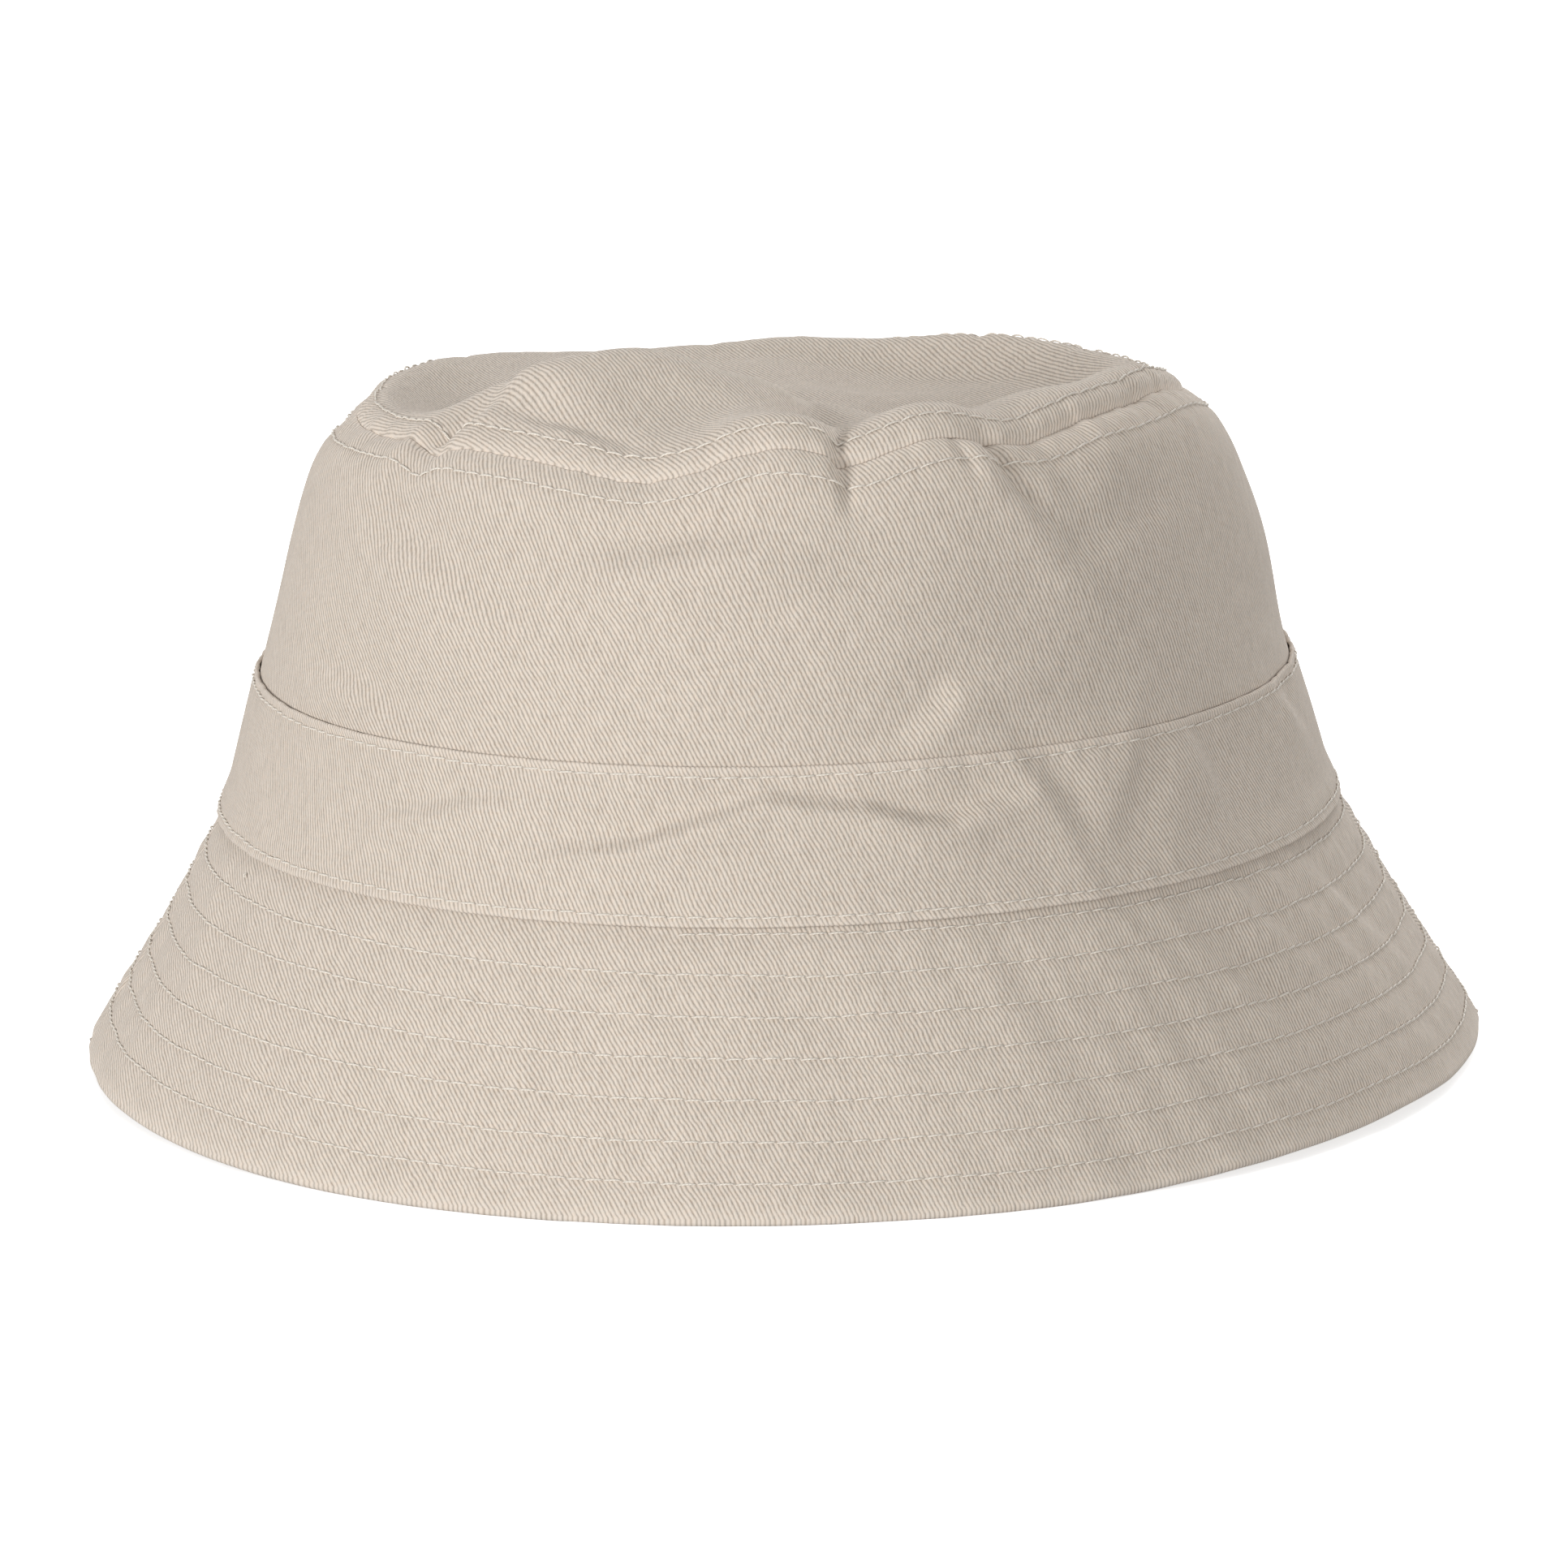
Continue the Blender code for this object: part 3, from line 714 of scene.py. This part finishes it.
def clothMaterial(name, group, values, bump=0.00012, strength=0.8, sheen=0.1, useEdgeHighlight=False):
    material = bpy.data.materials.new(name)
    material.use_nodes = True
    make = Nodes(material.node_tree)
    shader = material.node_tree.nodes["Principled BSDF"]
    weave = make.add("ShaderNodeGroup", node_tree=group)
    flat = make.add("ShaderNodeUVMap", uv_map="Flat")
    make.tree.links.new(flat.outputs["UV"], weave.inputs["Flat"])
    for key, value in values.items():
        weave.inputs[key].default_value = (*value, 1.0) if isinstance(value, tuple) else value
    # the per-point painted highlight along folded edges goes into the weave's colour
    if useEdgeHighlight:
        edgeHighlight = make.add("ShaderNodeAttribute", attribute_name="edgeHighlight")
        make.tree.links.new(edgeHighlight.outputs["Fac"], weave.inputs["Edge Highlight"])
    relief = make.add("ShaderNodeBump", {"Strength": strength, "Distance": bump,
                                         "Height": weave.outputs["Height"]})
    make.tree.links.new(relief.outputs["Normal"], shader.inputs["Normal"])
    make.tree.links.new(weave.outputs["Colour"], shader.inputs["Base Color"])
    make.tree.links.new(weave.outputs["Roughness"], shader.inputs["Roughness"])
    shader.inputs["Sheen Weight"].default_value = sheen
    shader.inputs["Sheen Roughness"].default_value = 0.5
    shader.inputs["Specular IOR Level"].default_value = 0.18
    return material


twillGroup = makeTwillGroup()
plainGroup = makePlainGroup()
threadGroup = makeThreadGroup()

twillValues = {"Colour": cloth["colour"], "Shade": cloth["shade"], "End Pitch": cloth["endPitch"],
               "Pick Pitch": cloth["pickPitch"], "Repeat": cloth["repeat"]}
twill = clothMaterial("stone twill", twillGroup, twillValues, sheen=cloth["sheen"], useEdgeHighlight=True)
sweatTwill = clothMaterial("sweatband twill", twillGroup,
                           {**twillValues, "Colour": (0.555, 0.485, 0.402), "Shade": (0.400, 0.338, 0.270)},
                           sheen=0.10, useEdgeHighlight=True)
tapeWeave = clothMaterial("seam tape", plainGroup,
                          {"Colour": (0.600, 0.535, 0.450), "Shade": (0.430, 0.372, 0.300), "Pitch": 0.00042,
                           "Ribs": 0.6}, bump=0.00016)
canvas = clothMaterial("stiffener canvas", plainGroup,
                       {"Colour": (0.760, 0.750, 0.715), "Shade": (0.560, 0.550, 0.520), "Pitch": 0.00050},
                       bump=0.00018)
threadMaterial = clothMaterial("sewing thread", threadGroup,
                               {"Colour": (0.860, 0.805, 0.725), "Shade": (0.620, 0.560, 0.480),
                                "Twist Pitch": 0.0006}, bump=0.00008, sheen=0.15)
satin = clothMaterial("label satin", plainGroup,
                      {"Colour": (0.84, 0.84, 0.82), "Shade": (0.66, 0.66, 0.64), "Pitch": 0.00022,
                       "Ribs": 0.35},
                      bump=0.00006, sheen=0.3)
print("materials made")


stitches = {
    "pitch": 0.0031,
    "radius": 0.000175,
    "rise": 0.00024,    # how far the middle of a stitch stands above the cloth
    "slant": 0.00016,   # sideways step between its two ends
    "wander": 0.00012,  # how far a row strays from its line
    "jitter": 0.00004,
    "outside": -0.00006,
    "tail": 0.00013,    # radius of a cut end
}


def surfaceAt(bearing, along, depth, wall=False):  # a point and the outward normal for each bearing
    along = np.broadcast_to(along, bearing.shape).astype(float)
    step = 0.0004

    def points(b, a):
        part = wallSection(a, -depth) if wall else section(a, depth)
        push = pushField(b, part["along"]) + puckerField(b, part["along"])
        r = part["point"][:, 0] + push * part["normal"][:, 0]
        z = part["point"][:, 1] + push * part["normal"][:, 1] + liftField(b, part["along"])
        x, y = r * np.sin(b), -shape["depthRatio"] * r * np.cos(b)
        return np.stack([x, y, z + heapField(x, y, part["along"])], axis=-1)

    here = points(bearing, along)
    round_ = points(bearing + step / 0.09, along) - here
    up = points(bearing, along + step) - here
    round_ /= np.linalg.norm(round_, axis=1)[:, None]
    up /= np.linalg.norm(up, axis=1)[:, None]
    normal = np.cross(round_, up)
    normal /= np.linalg.norm(normal, axis=1)[:, None]
    return here, normal, round_, up


def stitchBearings(radius, first=0.0, last=wholeTurn):  # even steps round the oval, one for each stitch
    fine = np.linspace(first, last, 2881)
    x, y = radius * np.sin(fine), -shape["depthRatio"] * radius * np.cos(fine)
    length = np.concatenate([[0], np.cumsum(np.hypot(np.diff(x), np.diff(y)))])
    count = int(round(length[-1] / stitches["pitch"]))
    ends = np.interp(np.linspace(0, length[-1], count + 1), length, fine)
    return ends[:-1], ends[1:]


def tubes(paths, radii, sides=6):  # closed tubes: paths is tubes x points x 3
    count, steps = paths.shape[:2]
    tangent = np.gradient(paths, axis=1)
    tangent /= np.linalg.norm(tangent, axis=2)[..., None] + 1e-12
    helper = np.broadcast_to(np.array([0.13, 0.31, 0.94]), tangent.shape)
    first = np.cross(tangent, helper)
    first /= np.linalg.norm(first, axis=2)[..., None]
    second = np.cross(tangent, first)
    angle = np.arange(sides) * wholeTurn / sides
    ring = (np.cos(angle)[:, None] * first[:, :, None, :] + np.sin(angle)[:, None] * second[:, :, None, :])
    points = paths[:, :, None, :] + ring * np.broadcast_to(radii, (count, steps))[:, :, None, None]
    index = np.arange(count * steps * sides).reshape(count, steps, sides)
    around = np.roll(index, -1, axis=2)
    quads = np.stack([index[:, :-1], around[:, :-1], around[:, 1:], index[:, 1:]], axis=-1).reshape(-1, 4)
    caps = [ring[::-1] for ring in index[:, 0].tolist()] + index[:, -1].tolist()
    gone = np.cumsum(np.linalg.norm(np.diff(paths, axis=1), axis=2), axis=1)
    length = np.concatenate([np.zeros((count, 1)), gone], axis=1)
    flat = np.stack([np.broadcast_to(length[:, :, None], (count, steps, sides)),
                     np.broadcast_to(np.arange(sides) / sides, (count, steps, sides))], axis=-1)
    return points.reshape(-1, 3), quads.tolist() + caps, flat.reshape(-1, 2)


def tubeObject(name, groups):
    points, faces, flats = [], [], []
    start = 0
    for paths, radii in groups:
        p, f, u = tubes(paths, radii)
        points.append(p)
        flats.append(u)
        faces += [[v + start for v in face] for face in f]
        start += len(p)
    mesh = bpy.data.meshes.new(name)
    mesh.from_pydata(np.concatenate(points).tolist(), [], faces)
    layer = mesh.uv_layers.new(name="Flat")
    corners = np.zeros(len(mesh.loops), dtype=np.int32)
    mesh.loops.foreach_get("vertex_index", corners)
    layer.data.foreach_set("uv", np.concatenate(flats)[corners].ravel())
    mesh.shade_smooth()
    obj = bpy.data.objects.new(name, mesh)
    bpy.context.scene.collection.objects.link(obj)
    return obj


def stitchPaths(along, depth, radius, seed, inside=False, wall=False, first=0.0, last=wholeTurn):
    start, end = stitchBearings(radius, first, last)
    chance = np.random.RandomState(seed)
    steps = np.array([0.04, 0.13, 0.30, 0.50, 0.70, 0.87, 0.96])
    height = np.array([-0.35, 0.25, 0.85, 1.00, 0.85, 0.25, -0.35])
    sway = np.array([-0.5, -0.46, -0.24, 0.0, 0.24, 0.46, 0.5])
    line = stitches["wander"] * wander(start * 9, seed + 100, first=1.7)
    line = line + stitches["jitter"] * chance.randn(len(start))
    tall = 1 + 0.18 * chance.randn(len(start))
    bearing = start[:, None] + (end - start)[:, None] * steps[None]
    base = along(bearing) if callable(along) else along
    alongs = base + line[:, None] + stitches["slant"] * sway[None] * (-1 if inside else 1)
    here, normal, _, _ = surfaceAt(bearing.ravel(), alongs.ravel(), depth, wall)
    if inside:
        normal = -normal
    rise = stitches["rise"] * height[None] * np.clip(tall, 0.5, 1.5)[:, None]
    paths = here + normal * rise.reshape(-1, 1)
    taper = stitches["radius"] * np.array([0.55, 0.82, 1.0, 1.04, 1.0, 0.82, 0.55])
    return paths.reshape(len(start), len(steps), 3), taper


def tail(bearing, along, turns, length):  # a cut thread end: turns are its headings, in degrees from level
    here, normal, across, up = surfaceAt(np.array([bearing]), np.array([along]), 0.0)
    point = here[0] + 0.0001 * normal[0]
    path = [point - 0.0003 * normal[0], point]
    step = length / len(turns)
    for i, heading in enumerate(turns):
        lift = 0.35 if i == 0 else (0.08 if i % 2 else -0.02)
        level, rise = math.cos(math.radians(heading)), math.sin(math.radians(heading))
        point = point + step * (level * across[0] + rise * up[0] + lift * normal[0])
        path.append(point)
    curve = np.array(path)
    fine = np.linspace(0, len(curve) - 1, 14)
    soft = np.stack([np.interp(fine, np.arange(len(curve)), curve[:, k]) for k in range(3)], axis=-1)
    for _ in range(2):
        soft[1:-1] = (soft[:-2] + 2 * soft[1:-1] + soft[2:]) / 4
    return soft[None], stitches["tail"]


crown = {
    "cell": 0.00095,
    "lowestAlong": 0.0032,
    "turnRadius": 0.00030,  # turned edge at the tip seam
    "seamGap": 0.00034,     # from the seam's line to the start of each turned edge
}


# painted highlight: how strongly the colour is lightened in a strip along each folded edge, where the fold
# catches the light
def paintEdgeHighlight(along, marks, reach=0.0011):
    edgeHighlight = np.zeros_like(along)
    for mark in marks:
        edgeHighlight = edgeHighlight + np.exp(-(((along - mark) / reach) ** 2))
    return edgeHighlight


def sideSeam(points, bearing, flip=False, depth=0.0007, reach=0.0011):  # draws a panel's two ends in
    radius = np.hypot(points[..., 0], points[..., 1])
    fromEnd = np.minimum(bearing - bearing[0], bearing[-1] - bearing)[None, :] * radius
    draw = depth * np.exp(-((fromEnd / reach) ** 2))
    middle = np.array([0.0, 0.0, 0.04])
    way = middle - points
    way[..., 2] = 0
    way /= np.linalg.norm(way, axis=-1)[..., None] + 1e-9
    return points + way * draw[..., None] * (-1 if flip else 1)


def makeSideCrown():
    rows = spread(crown["lowestAlong"], seamAlong - crown["seamGap"], crown["cell"])
    part = curled(section(rows), crown["turnRadius"], 165)
    reach = math.pi / 2 - 0.0006
    for label, middle in (("Front", 0.0), ("Back", math.pi)):
        bearing = middle + spread(-reach, reach, crown["cell"] / 0.086)
        points = sideSeam(place(part, bearing), bearing)
        flat = coneCut(part["along"] + np.linspace(0, 1e-4, len(part["along"])), bearing, crownLean, middle)
        edgeHighlight = paintEdgeHighlight(part["along"], (seamAlong - crown["seamGap"],))[:, None]
        obj = gridObject("sideCrown" + label, points, flat, edge=edgeHighlight)
        thicken(obj, cloth["thickness"])
        finishPiece(obj, twill, ["side_crown_" + label.lower()])


def makeTip():
    rows = np.concatenate([spread(seamAlong + crown["seamGap"], flatAlong, crown["cell"]),
                           spread(flatAlong, crownAlong - 0.0012, 0.0014)[1:]])
    part = curled(section(rows), crown["turnRadius"], 165, atStart=True)
    bearing = np.linspace(0, wholeTurn, 480, endpoint=False)
    points = place(part, bearing)
    reach = crownAlong - part["along"]
    across, forward = np.sin(bearing)[None], -shape["depthRatio"] * np.cos(bearing)[None]
    flat = np.stack([reach[:, None] * across, reach[:, None] * forward], axis=-1)
    edgeHighlight = paintEdgeHighlight(part["along"], (seamAlong + crown["seamGap"],))[:, None]
    obj = gridObject("tip", points, flat, wrap=True, edge=edgeHighlight)
    closeMiddle(obj.data, len(points) * len(bearing), len(bearing), points[-1].mean(axis=0))
    thicken(obj, cloth["thickness"])
    finishPiece(obj, twill, ["crown_tip"])


def closeMiddle(mesh, total, cols, centre):  # fills the small hole in the middle of the tip
    cage = bmesh.new()
    cage.from_mesh(mesh)
    cage.verts.ensure_lookup_table()
    ring = [cage.verts[total - cols + i] for i in range(cols)]
    middle = cage.verts.new(centre)
    layer = cage.loops.layers.uv["Flat"]
    scale = {}
    for vert in ring:
        for loop in vert.link_loops:
            scale[vert] = loop[layer].uv.copy()
            break
    for i in range(cols):
        face = cage.faces.new((ring[i], ring[(i + 1) % cols], middle))
        face.smooth = True
        for loop in face.loops:
            loop[layer].uv = scale.get(loop.vert, Vector((0.0, 0.0)))
    cage.to_mesh(mesh)
    cage.free()


makeSideCrown()
makeTip()
print("crown made")


brim = {
    "radialCell": 0.00068,
    "roundCell": 0.00088,
    "underCell": 0.00125,
    "thickness": 0.0020,    # both layers and the stiffener
    "hemRadius": 0.00088,
    "canvasDepth": 0.0009,
    "inner": 0.0006,        # how far the upper layer runs up under the band
}


def brimPanels(kind, depth, flip, cells, hemBack):
    rows = spread(-brimLength + hemBack, brim["inner"] - 0.0008, cells[0])
    part = section(rows, depth)
    part = curled(part, brim["hemRadius"], 150, steps=6, atStart=True, outward=flip)
    reach = math.pi / 2 - 0.0005
    for label, middle in (("Front", 0.0), ("Back", math.pi)):
        bearing = middle + spread(-reach, reach, cells[1] / 0.107)
        points = sideSeam(place(part, bearing), bearing, flip)
        points[..., 2] = np.maximum(points[..., 2], 0.0)
        flat = coneCut(part["along"] + np.linspace(-1e-4, 0, len(part["along"])), bearing, brimLean, middle)
        edgeHighlight = paintEdgeHighlight(part["along"], (-brimLength + hemBack,), 0.0016)[:, None]
        obj = gridObject(f"brim{kind}{label}", points, flat, flip=flip, edge=edgeHighlight)
        thicken(obj, cloth["thickness"])
        nodes = [f"{'upper' if kind == 'Top' else 'under'}_brim_{label.lower()}"]
        finishPiece(obj, twill, nodes)


def makeInterlining():
    rows = spread(-brimLength + 0.0046, -0.0012, 0.0012)
    part = section(rows, brim["canvasDepth"])
    bearing = np.linspace(0, wholeTurn, 600, endpoint=False)
    points = place(part, bearing)
    flat = coneCut(rows, bearing, brimLean, math.pi)
    obj = gridObject("brimInterlining", points, flat, wrap=True)
    thicken(obj, 0.00025)
    finishPiece(obj, canvas, ["brim_interlining"])


brimPanels("Top", 0.0, False, (brim["radialCell"], brim["roundCell"]), 0.0012)
brimPanels("Under", brim["thickness"], True, (0.0009, brim["underCell"]), 0.0020)
makeInterlining()
print("brim made")


band = {
    "low": -0.0022,       # along the wall's line, past the brim seam
    "high": 0.0238,
    "standOff": 0.00012,
    "flare": 0.0008,      # more stand-off at the lower edge
    "thickness": 0.0008,
    "rowIn": 0.0016,      # stitch rows in from each edge
    "cell": 0.00090,
}


def bandOut(along):  # the band's outer face: flared at the foot, drawn in at its stitch rows
    flare = band["flare"] * (1 - smooth(along, band["low"], 0.0055))
    out = band["standOff"] + band["thickness"] + flare
    for row in (band["low"] + band["rowIn"], band["high"] - band["rowIn"]):
        out = out - 0.00024 * np.exp(-(((along - row) / 0.0008) ** 2))
    return out


def makeBand():
    turn = band["thickness"] / 2
    rows = spread(band["low"] + turn, band["high"] - turn, 0.00062)
    part = wallSection(rows, bandOut(rows))
    part = curled(part, turn, 176, steps=6)
    part = curled(part, turn, 176, steps=6, atStart=True)
    reach = math.pi - 0.0016
    bearing = spread(-reach, reach, band["cell"] / 0.097)
    points = place(part, bearing, quiet=0.0)
    ripple = puckers["bandSeam"]
    gather = wander(bearing * ripple["waves"] / 5, ripple["seed"], waves=6, first=2.0)[None, :]
    near = np.zeros(len(part["along"]))
    for edge in (band["low"], band["high"]):
        near += np.exp(-(((rowsOf(part) - edge) / ripple["reach"]) ** 2))
    push = ripple["height"] * gather * near[:, None]
    points[..., 0] += push * np.sin(bearing)[None]
    points[..., 1] -= push * np.cos(bearing)[None]
    points = sideSeam(points, bearing, depth=0.0005)
    flat = stripCut(rowsOf(part), bearing)
    edgeHighlight = paintEdgeHighlight(rowsOf(part), (band["low"] + turn, band["high"] - turn), 0.0008)[:, None]
    obj = gridObject("outerBand", points, flat, edge=edgeHighlight)
    thicken(obj, 0.00042)
    finishPiece(obj, twill, ["outer_band"])


def rowsOf(part):  # how far up the wall each row is
    return (part["point"] - seam) @ climbing(crownLean)


makeBand()
print("band made")


inside = {
    "sweatDepth": 0.0031,
    "sweatHigh": 0.0305,
    "sweatLow": 0.0002,
    "sweatRow": 0.0022,
    "tapeDepth": 0.0011,
    "tapeThickness": 0.00038,
    "tapeHalfWidth": 0.0068,
    "sideTapeHalfWidth": 0.0062,
}


def makeSweatband():
    turn = 0.0005
    rows = spread(inside["sweatLow"], inside["sweatHigh"] - turn, 0.0011)
    part = wallSection(rows, -inside["sweatDepth"] - 0.0012 * smooth(rows, 0.012, 0.030))
    part = curled(part, turn, 176, steps=5, outward=True)
    reach = math.pi - 0.002
    bearing = spread(-reach, reach, 0.0013 / 0.09)
    points = place(part, bearing, quiet=0.0)
    free = smooth(rowsOf(part), 0.010, 0.030)[:, None]
    push = 0.0005 * free * (wander(bearing * 11, 61)[None] - 0.6)
    points[..., 0] += push * np.sin(bearing)[None]
    points[..., 1] -= push * np.cos(bearing)[None]
    strip = stripCut(rowsOf(part), bearing)
    turnBy = math.radians(45)
    bias = np.stack([strip[..., 0] * math.cos(turnBy) - strip[..., 1] * math.sin(turnBy),
                     strip[..., 0] * math.sin(turnBy) + strip[..., 1] * math.cos(turnBy)], axis=-1)
    edgeHighlight = paintEdgeHighlight(rowsOf(part), (inside["sweatHigh"],))[:, None]
    obj = gridObject("innerSweatband", points, bias, flip=True, edge=edgeHighlight)
    thicken(obj, 0.00042)
    finishPiece(obj, sweatTwill, ["sweatband"])


def finishTape(obj, node):
    thicken(obj, inside["tapeThickness"])
    finishPiece(obj, tapeWeave, [node])


def makeTapes():
    half = inside["tapeHalfWidth"]
    rows = spread(seamAlong - half, seamAlong + half, 0.0009)
    swell = 0.0007 * np.exp(-(((rows - seamAlong) / 0.0035) ** 2))
    part = section(rows, inside["tapeDepth"] + swell)
    bearing = np.linspace(0, wholeTurn, 420, endpoint=False)
    flat = stripCut(rows, bearing, 0.072)
    obj = gridObject("tipSeamTape", place(part, bearing, quiet=0.6), flat, wrap=True, flip=True)
    finishTape(obj, "tip_seam_tape")
    rows = spread(0.0100, seamAlong - half - 0.0006, 0.0011)
    reach = inside["sideTapeHalfWidth"] / 0.086
    for label, middle in (("Left", math.pi / 2), ("Right", -math.pi / 2)):
        bearing = middle + np.linspace(-reach, reach, 15)
        part = section(rows, inside["tapeDepth"])
        points = place(part, bearing)
        swell = 0.0008 * np.exp(-(((bearing - middle) * 0.086 / 0.003) ** 2))[None]
        points[..., 0] -= math.copysign(1, middle) * swell
        flat = stripCut(rows, bearing - middle, 0.086)
        obj = gridObject("sideTape" + label, points, flat, flip=True)
        finishTape(obj, "side_seam_tape_" + label.lower())


def makeLabel():
    low, high = (np.array(corner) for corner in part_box("care_label"))
    width, length = high[0] - low[0], high[2] - low[2]
    across = np.linspace(-0.5, 0.5, 33)[None, :]
    down = np.linspace(0, 1, 45)[:, None]
    middle = (low[1] + high[1]) / 2
    loop = 0.0005                                    # the ribbon is folded in half and its fold hangs open
    sheets = []
    for side in (1, -1):
        wave = 0.0005 * np.sin(down * 4.2 + 0.6) + 0.0006 * down * np.sin(across * 4 + 0.5)
        gap = loop * np.sin(np.pi * np.clip(down, 0, 1) ** 1.6) + 0.00022
        y = middle + wave + side * gap + 0.0 * across
        z = high[2] - down * length * 0.97 + 0.0 * across
        x = across * width * (1 - 0.006 * np.sin(down * 9)) + 0.0 * y
        sheets.append(np.stack([x, y, z], axis=-1))
    fold = np.linspace(0, math.pi, 7)[1:-1]
    bottom = (sheets[0][-1] + sheets[1][-1]) / 2
    halfGap = (sheets[0][-1] - sheets[1][-1])[..., 1] / 2
    curve = []
    for angle in fold:
        drop = -np.sin(angle) * (halfGap + 0.0003)
        curve.append(bottom + np.stack([0 * halfGap, np.cos(angle) * halfGap, drop], axis=-1))
    points = np.concatenate([sheets[0], np.array(curve), sheets[1][::-1]], axis=0)
    rows = points.shape[0]
    flatAcross, flatDown = np.broadcast_arrays(across * width, np.linspace(0, 2 * length, rows)[:, None])
    flat = np.stack([flatAcross, flatDown], axis=-1)
    obj = gridObject("careLabel", points, flat)
    thicken(obj, 0.00018, 0.0)
    finishPiece(obj, satin, ["care_label"], body="care_label")


makeSweatband()
makeTapes()
makeLabel()
print("inside made")


def sewRow(name, node, *lines):
    finishPiece(tubeObject(name, lines), threadMaterial, [node])


def makeStitching():
    off = stitches["outside"]
    for i in range(brimRows["count"]):
        first = brimRows["start"]
        last = first + (brimRows["lastTurn"] if i == brimRows["count"] - 1 else wholeTurn)
        row = partial(brimRow, i)
        radius = shape["seamHalfWidth"] - brimRow(i + 0.5, first) * math.sin(brimLean)
        top = stitchPaths(row, off, radius, 200 + i, first=first, last=last)
        under = stitchPaths(row, brim["thickness"] - off, radius - 0.001, 300 + i, inside=True,
                            first=first, last=last)
        lines = [top, under]
        if i == 0:
            lines.append(tail(math.radians(-67.8), -0.0062, (70, 40, -30, -60), 0.0020))
        sewRow(f"brimStitchRow{i + 1}", f"brim_stitch_row_{i + 1}", *lines)
    for i, (label, side) in enumerate((("Lower", -1), ("Upper", 1))):
        along = seamAlong + side * tipRow
        radius = float(section(along)["point"][0, 0])
        outer = stitchPaths(along, off, radius, 400 + i)
        inner = stitchPaths(along, inside["tapeDepth"] + 0.00050, radius - 0.001, 410 + i, inside=True)
        sewRow("tipStitch" + label, "tip_seam_stitch_" + label.lower(), outer, inner)
    bandRows = {"Lower": band["low"] + band["rowIn"], "Upper": band["high"] - band["rowIn"]}
    for i, (label, along) in enumerate(bandRows.items()):
        out = float(bandOut(np.array([along]))[0])
        radius = shape["seamHalfWidth"] - along * math.sin(crownLean) + out
        sewn = stitchPaths(along, off - out, radius, 500 + i, wall=True)
        sewRow("bandStitch" + label, "band_stitch_" + label.lower(), sewn)
    depth = inside["sweatDepth"]
    radius = shape["seamHalfWidth"] - depth
    sewn = stitchPaths(inside["sweatRow"], depth - off, radius, 600, inside=True, wall=True)
    sewRow("sweatbandStitch", "sweatband_stitch", sewn)


makeStitching()
print("stitches made")


studio = {
    "floor": (0.93, 0.93, 0.93),
    "floorReach": 6.0,
    "floorGlow": 0.62,
    "world": 0.29,
    "lamps": {  # power, place, size
        "key": (46.0, (-1.82, -1.53, 0.38), 0.8),
        "front": (10.0, (-0.60, -2.30, 0.38), 0.8),
        "fill": (21.0, (1.74, -1.63, 0.36), 0.8),
        "top": (12.0, (0.0, 0.60, 1.60), 1.2),
        "rear": (24.0, (0.90, 2.10, 0.90), 1.2),
    },
    "cameraDistance": 1.65,
    "cameraRise": 12.0,
    "cameraRoll": 1.2,
    "lens": 220.0,
    "aim": (0.0010, 0.0, 0.0457),
}


def makeStage():
    mesh = bpy.data.meshes.new("floor")
    reach = studio["floorReach"]
    corners = [(-reach, -reach, 0), (reach, -reach, 0), (reach, reach, 0), (-reach, reach, 0)]
    mesh.from_pydata(corners, [], [(0, 1, 2, 3)])
    floor = bpy.data.objects.new("floor", mesh)
    bpy.context.scene.collection.objects.link(floor)
    material = bpy.data.materials.new("studio floor")
    material.use_nodes = True
    shader = material.node_tree.nodes["Principled BSDF"]
    shader.inputs["Base Color"].default_value = (*studio["floor"], 1)
    shader.inputs["Roughness"].default_value = 0.9
    shader.inputs["Emission Color"].default_value = (1, 1, 1, 1)
    shader.inputs["Emission Strength"].default_value = studio["floorGlow"]
    mesh.materials.append(material)
    floor.visible_diffuse = False

    world = bpy.data.worlds.new("studio")
    world.use_nodes = True
    world.node_tree.nodes["Background"].inputs["Color"].default_value = (1, 1, 1, 1)
    world.node_tree.nodes["Background"].inputs["Strength"].default_value = studio["world"]
    bpy.context.scene.world = world

    for name, (power, spot, size) in studio["lamps"].items():
        lamp = bpy.data.lights.new(name, "AREA")
        lamp.energy = power
        lamp.size = size
        light = bpy.data.objects.new(name, lamp)
        light.location = spot
        light.rotation_euler = (Vector((0, 0, 0.05)) - light.location).to_track_quat("-Z", "Y").to_euler()
        bpy.context.scene.collection.objects.link(light)

    lens = bpy.data.cameras.new("camera")
    lens.lens = studio["lens"]
    lens.clip_start = 0.05
    camera = bpy.data.objects.new("camera", lens)
    rise = math.radians(studio["cameraRise"])
    aim = Vector(studio["aim"])
    camera.location = aim + studio["cameraDistance"] * Vector((0, -math.cos(rise), math.sin(rise)))
    look = (aim - camera.location).to_track_quat("-Z", "Y")
    camera.rotation_euler = look.to_euler()
    camera.rotation_euler.rotate_axis("Z", -math.radians(studio["cameraRoll"]))
    bpy.context.scene.collection.objects.link(camera)
    bpy.context.scene.camera = camera
    bpy.context.scene.view_settings.view_transform = "Standard"


makeStage()
print("stage made")
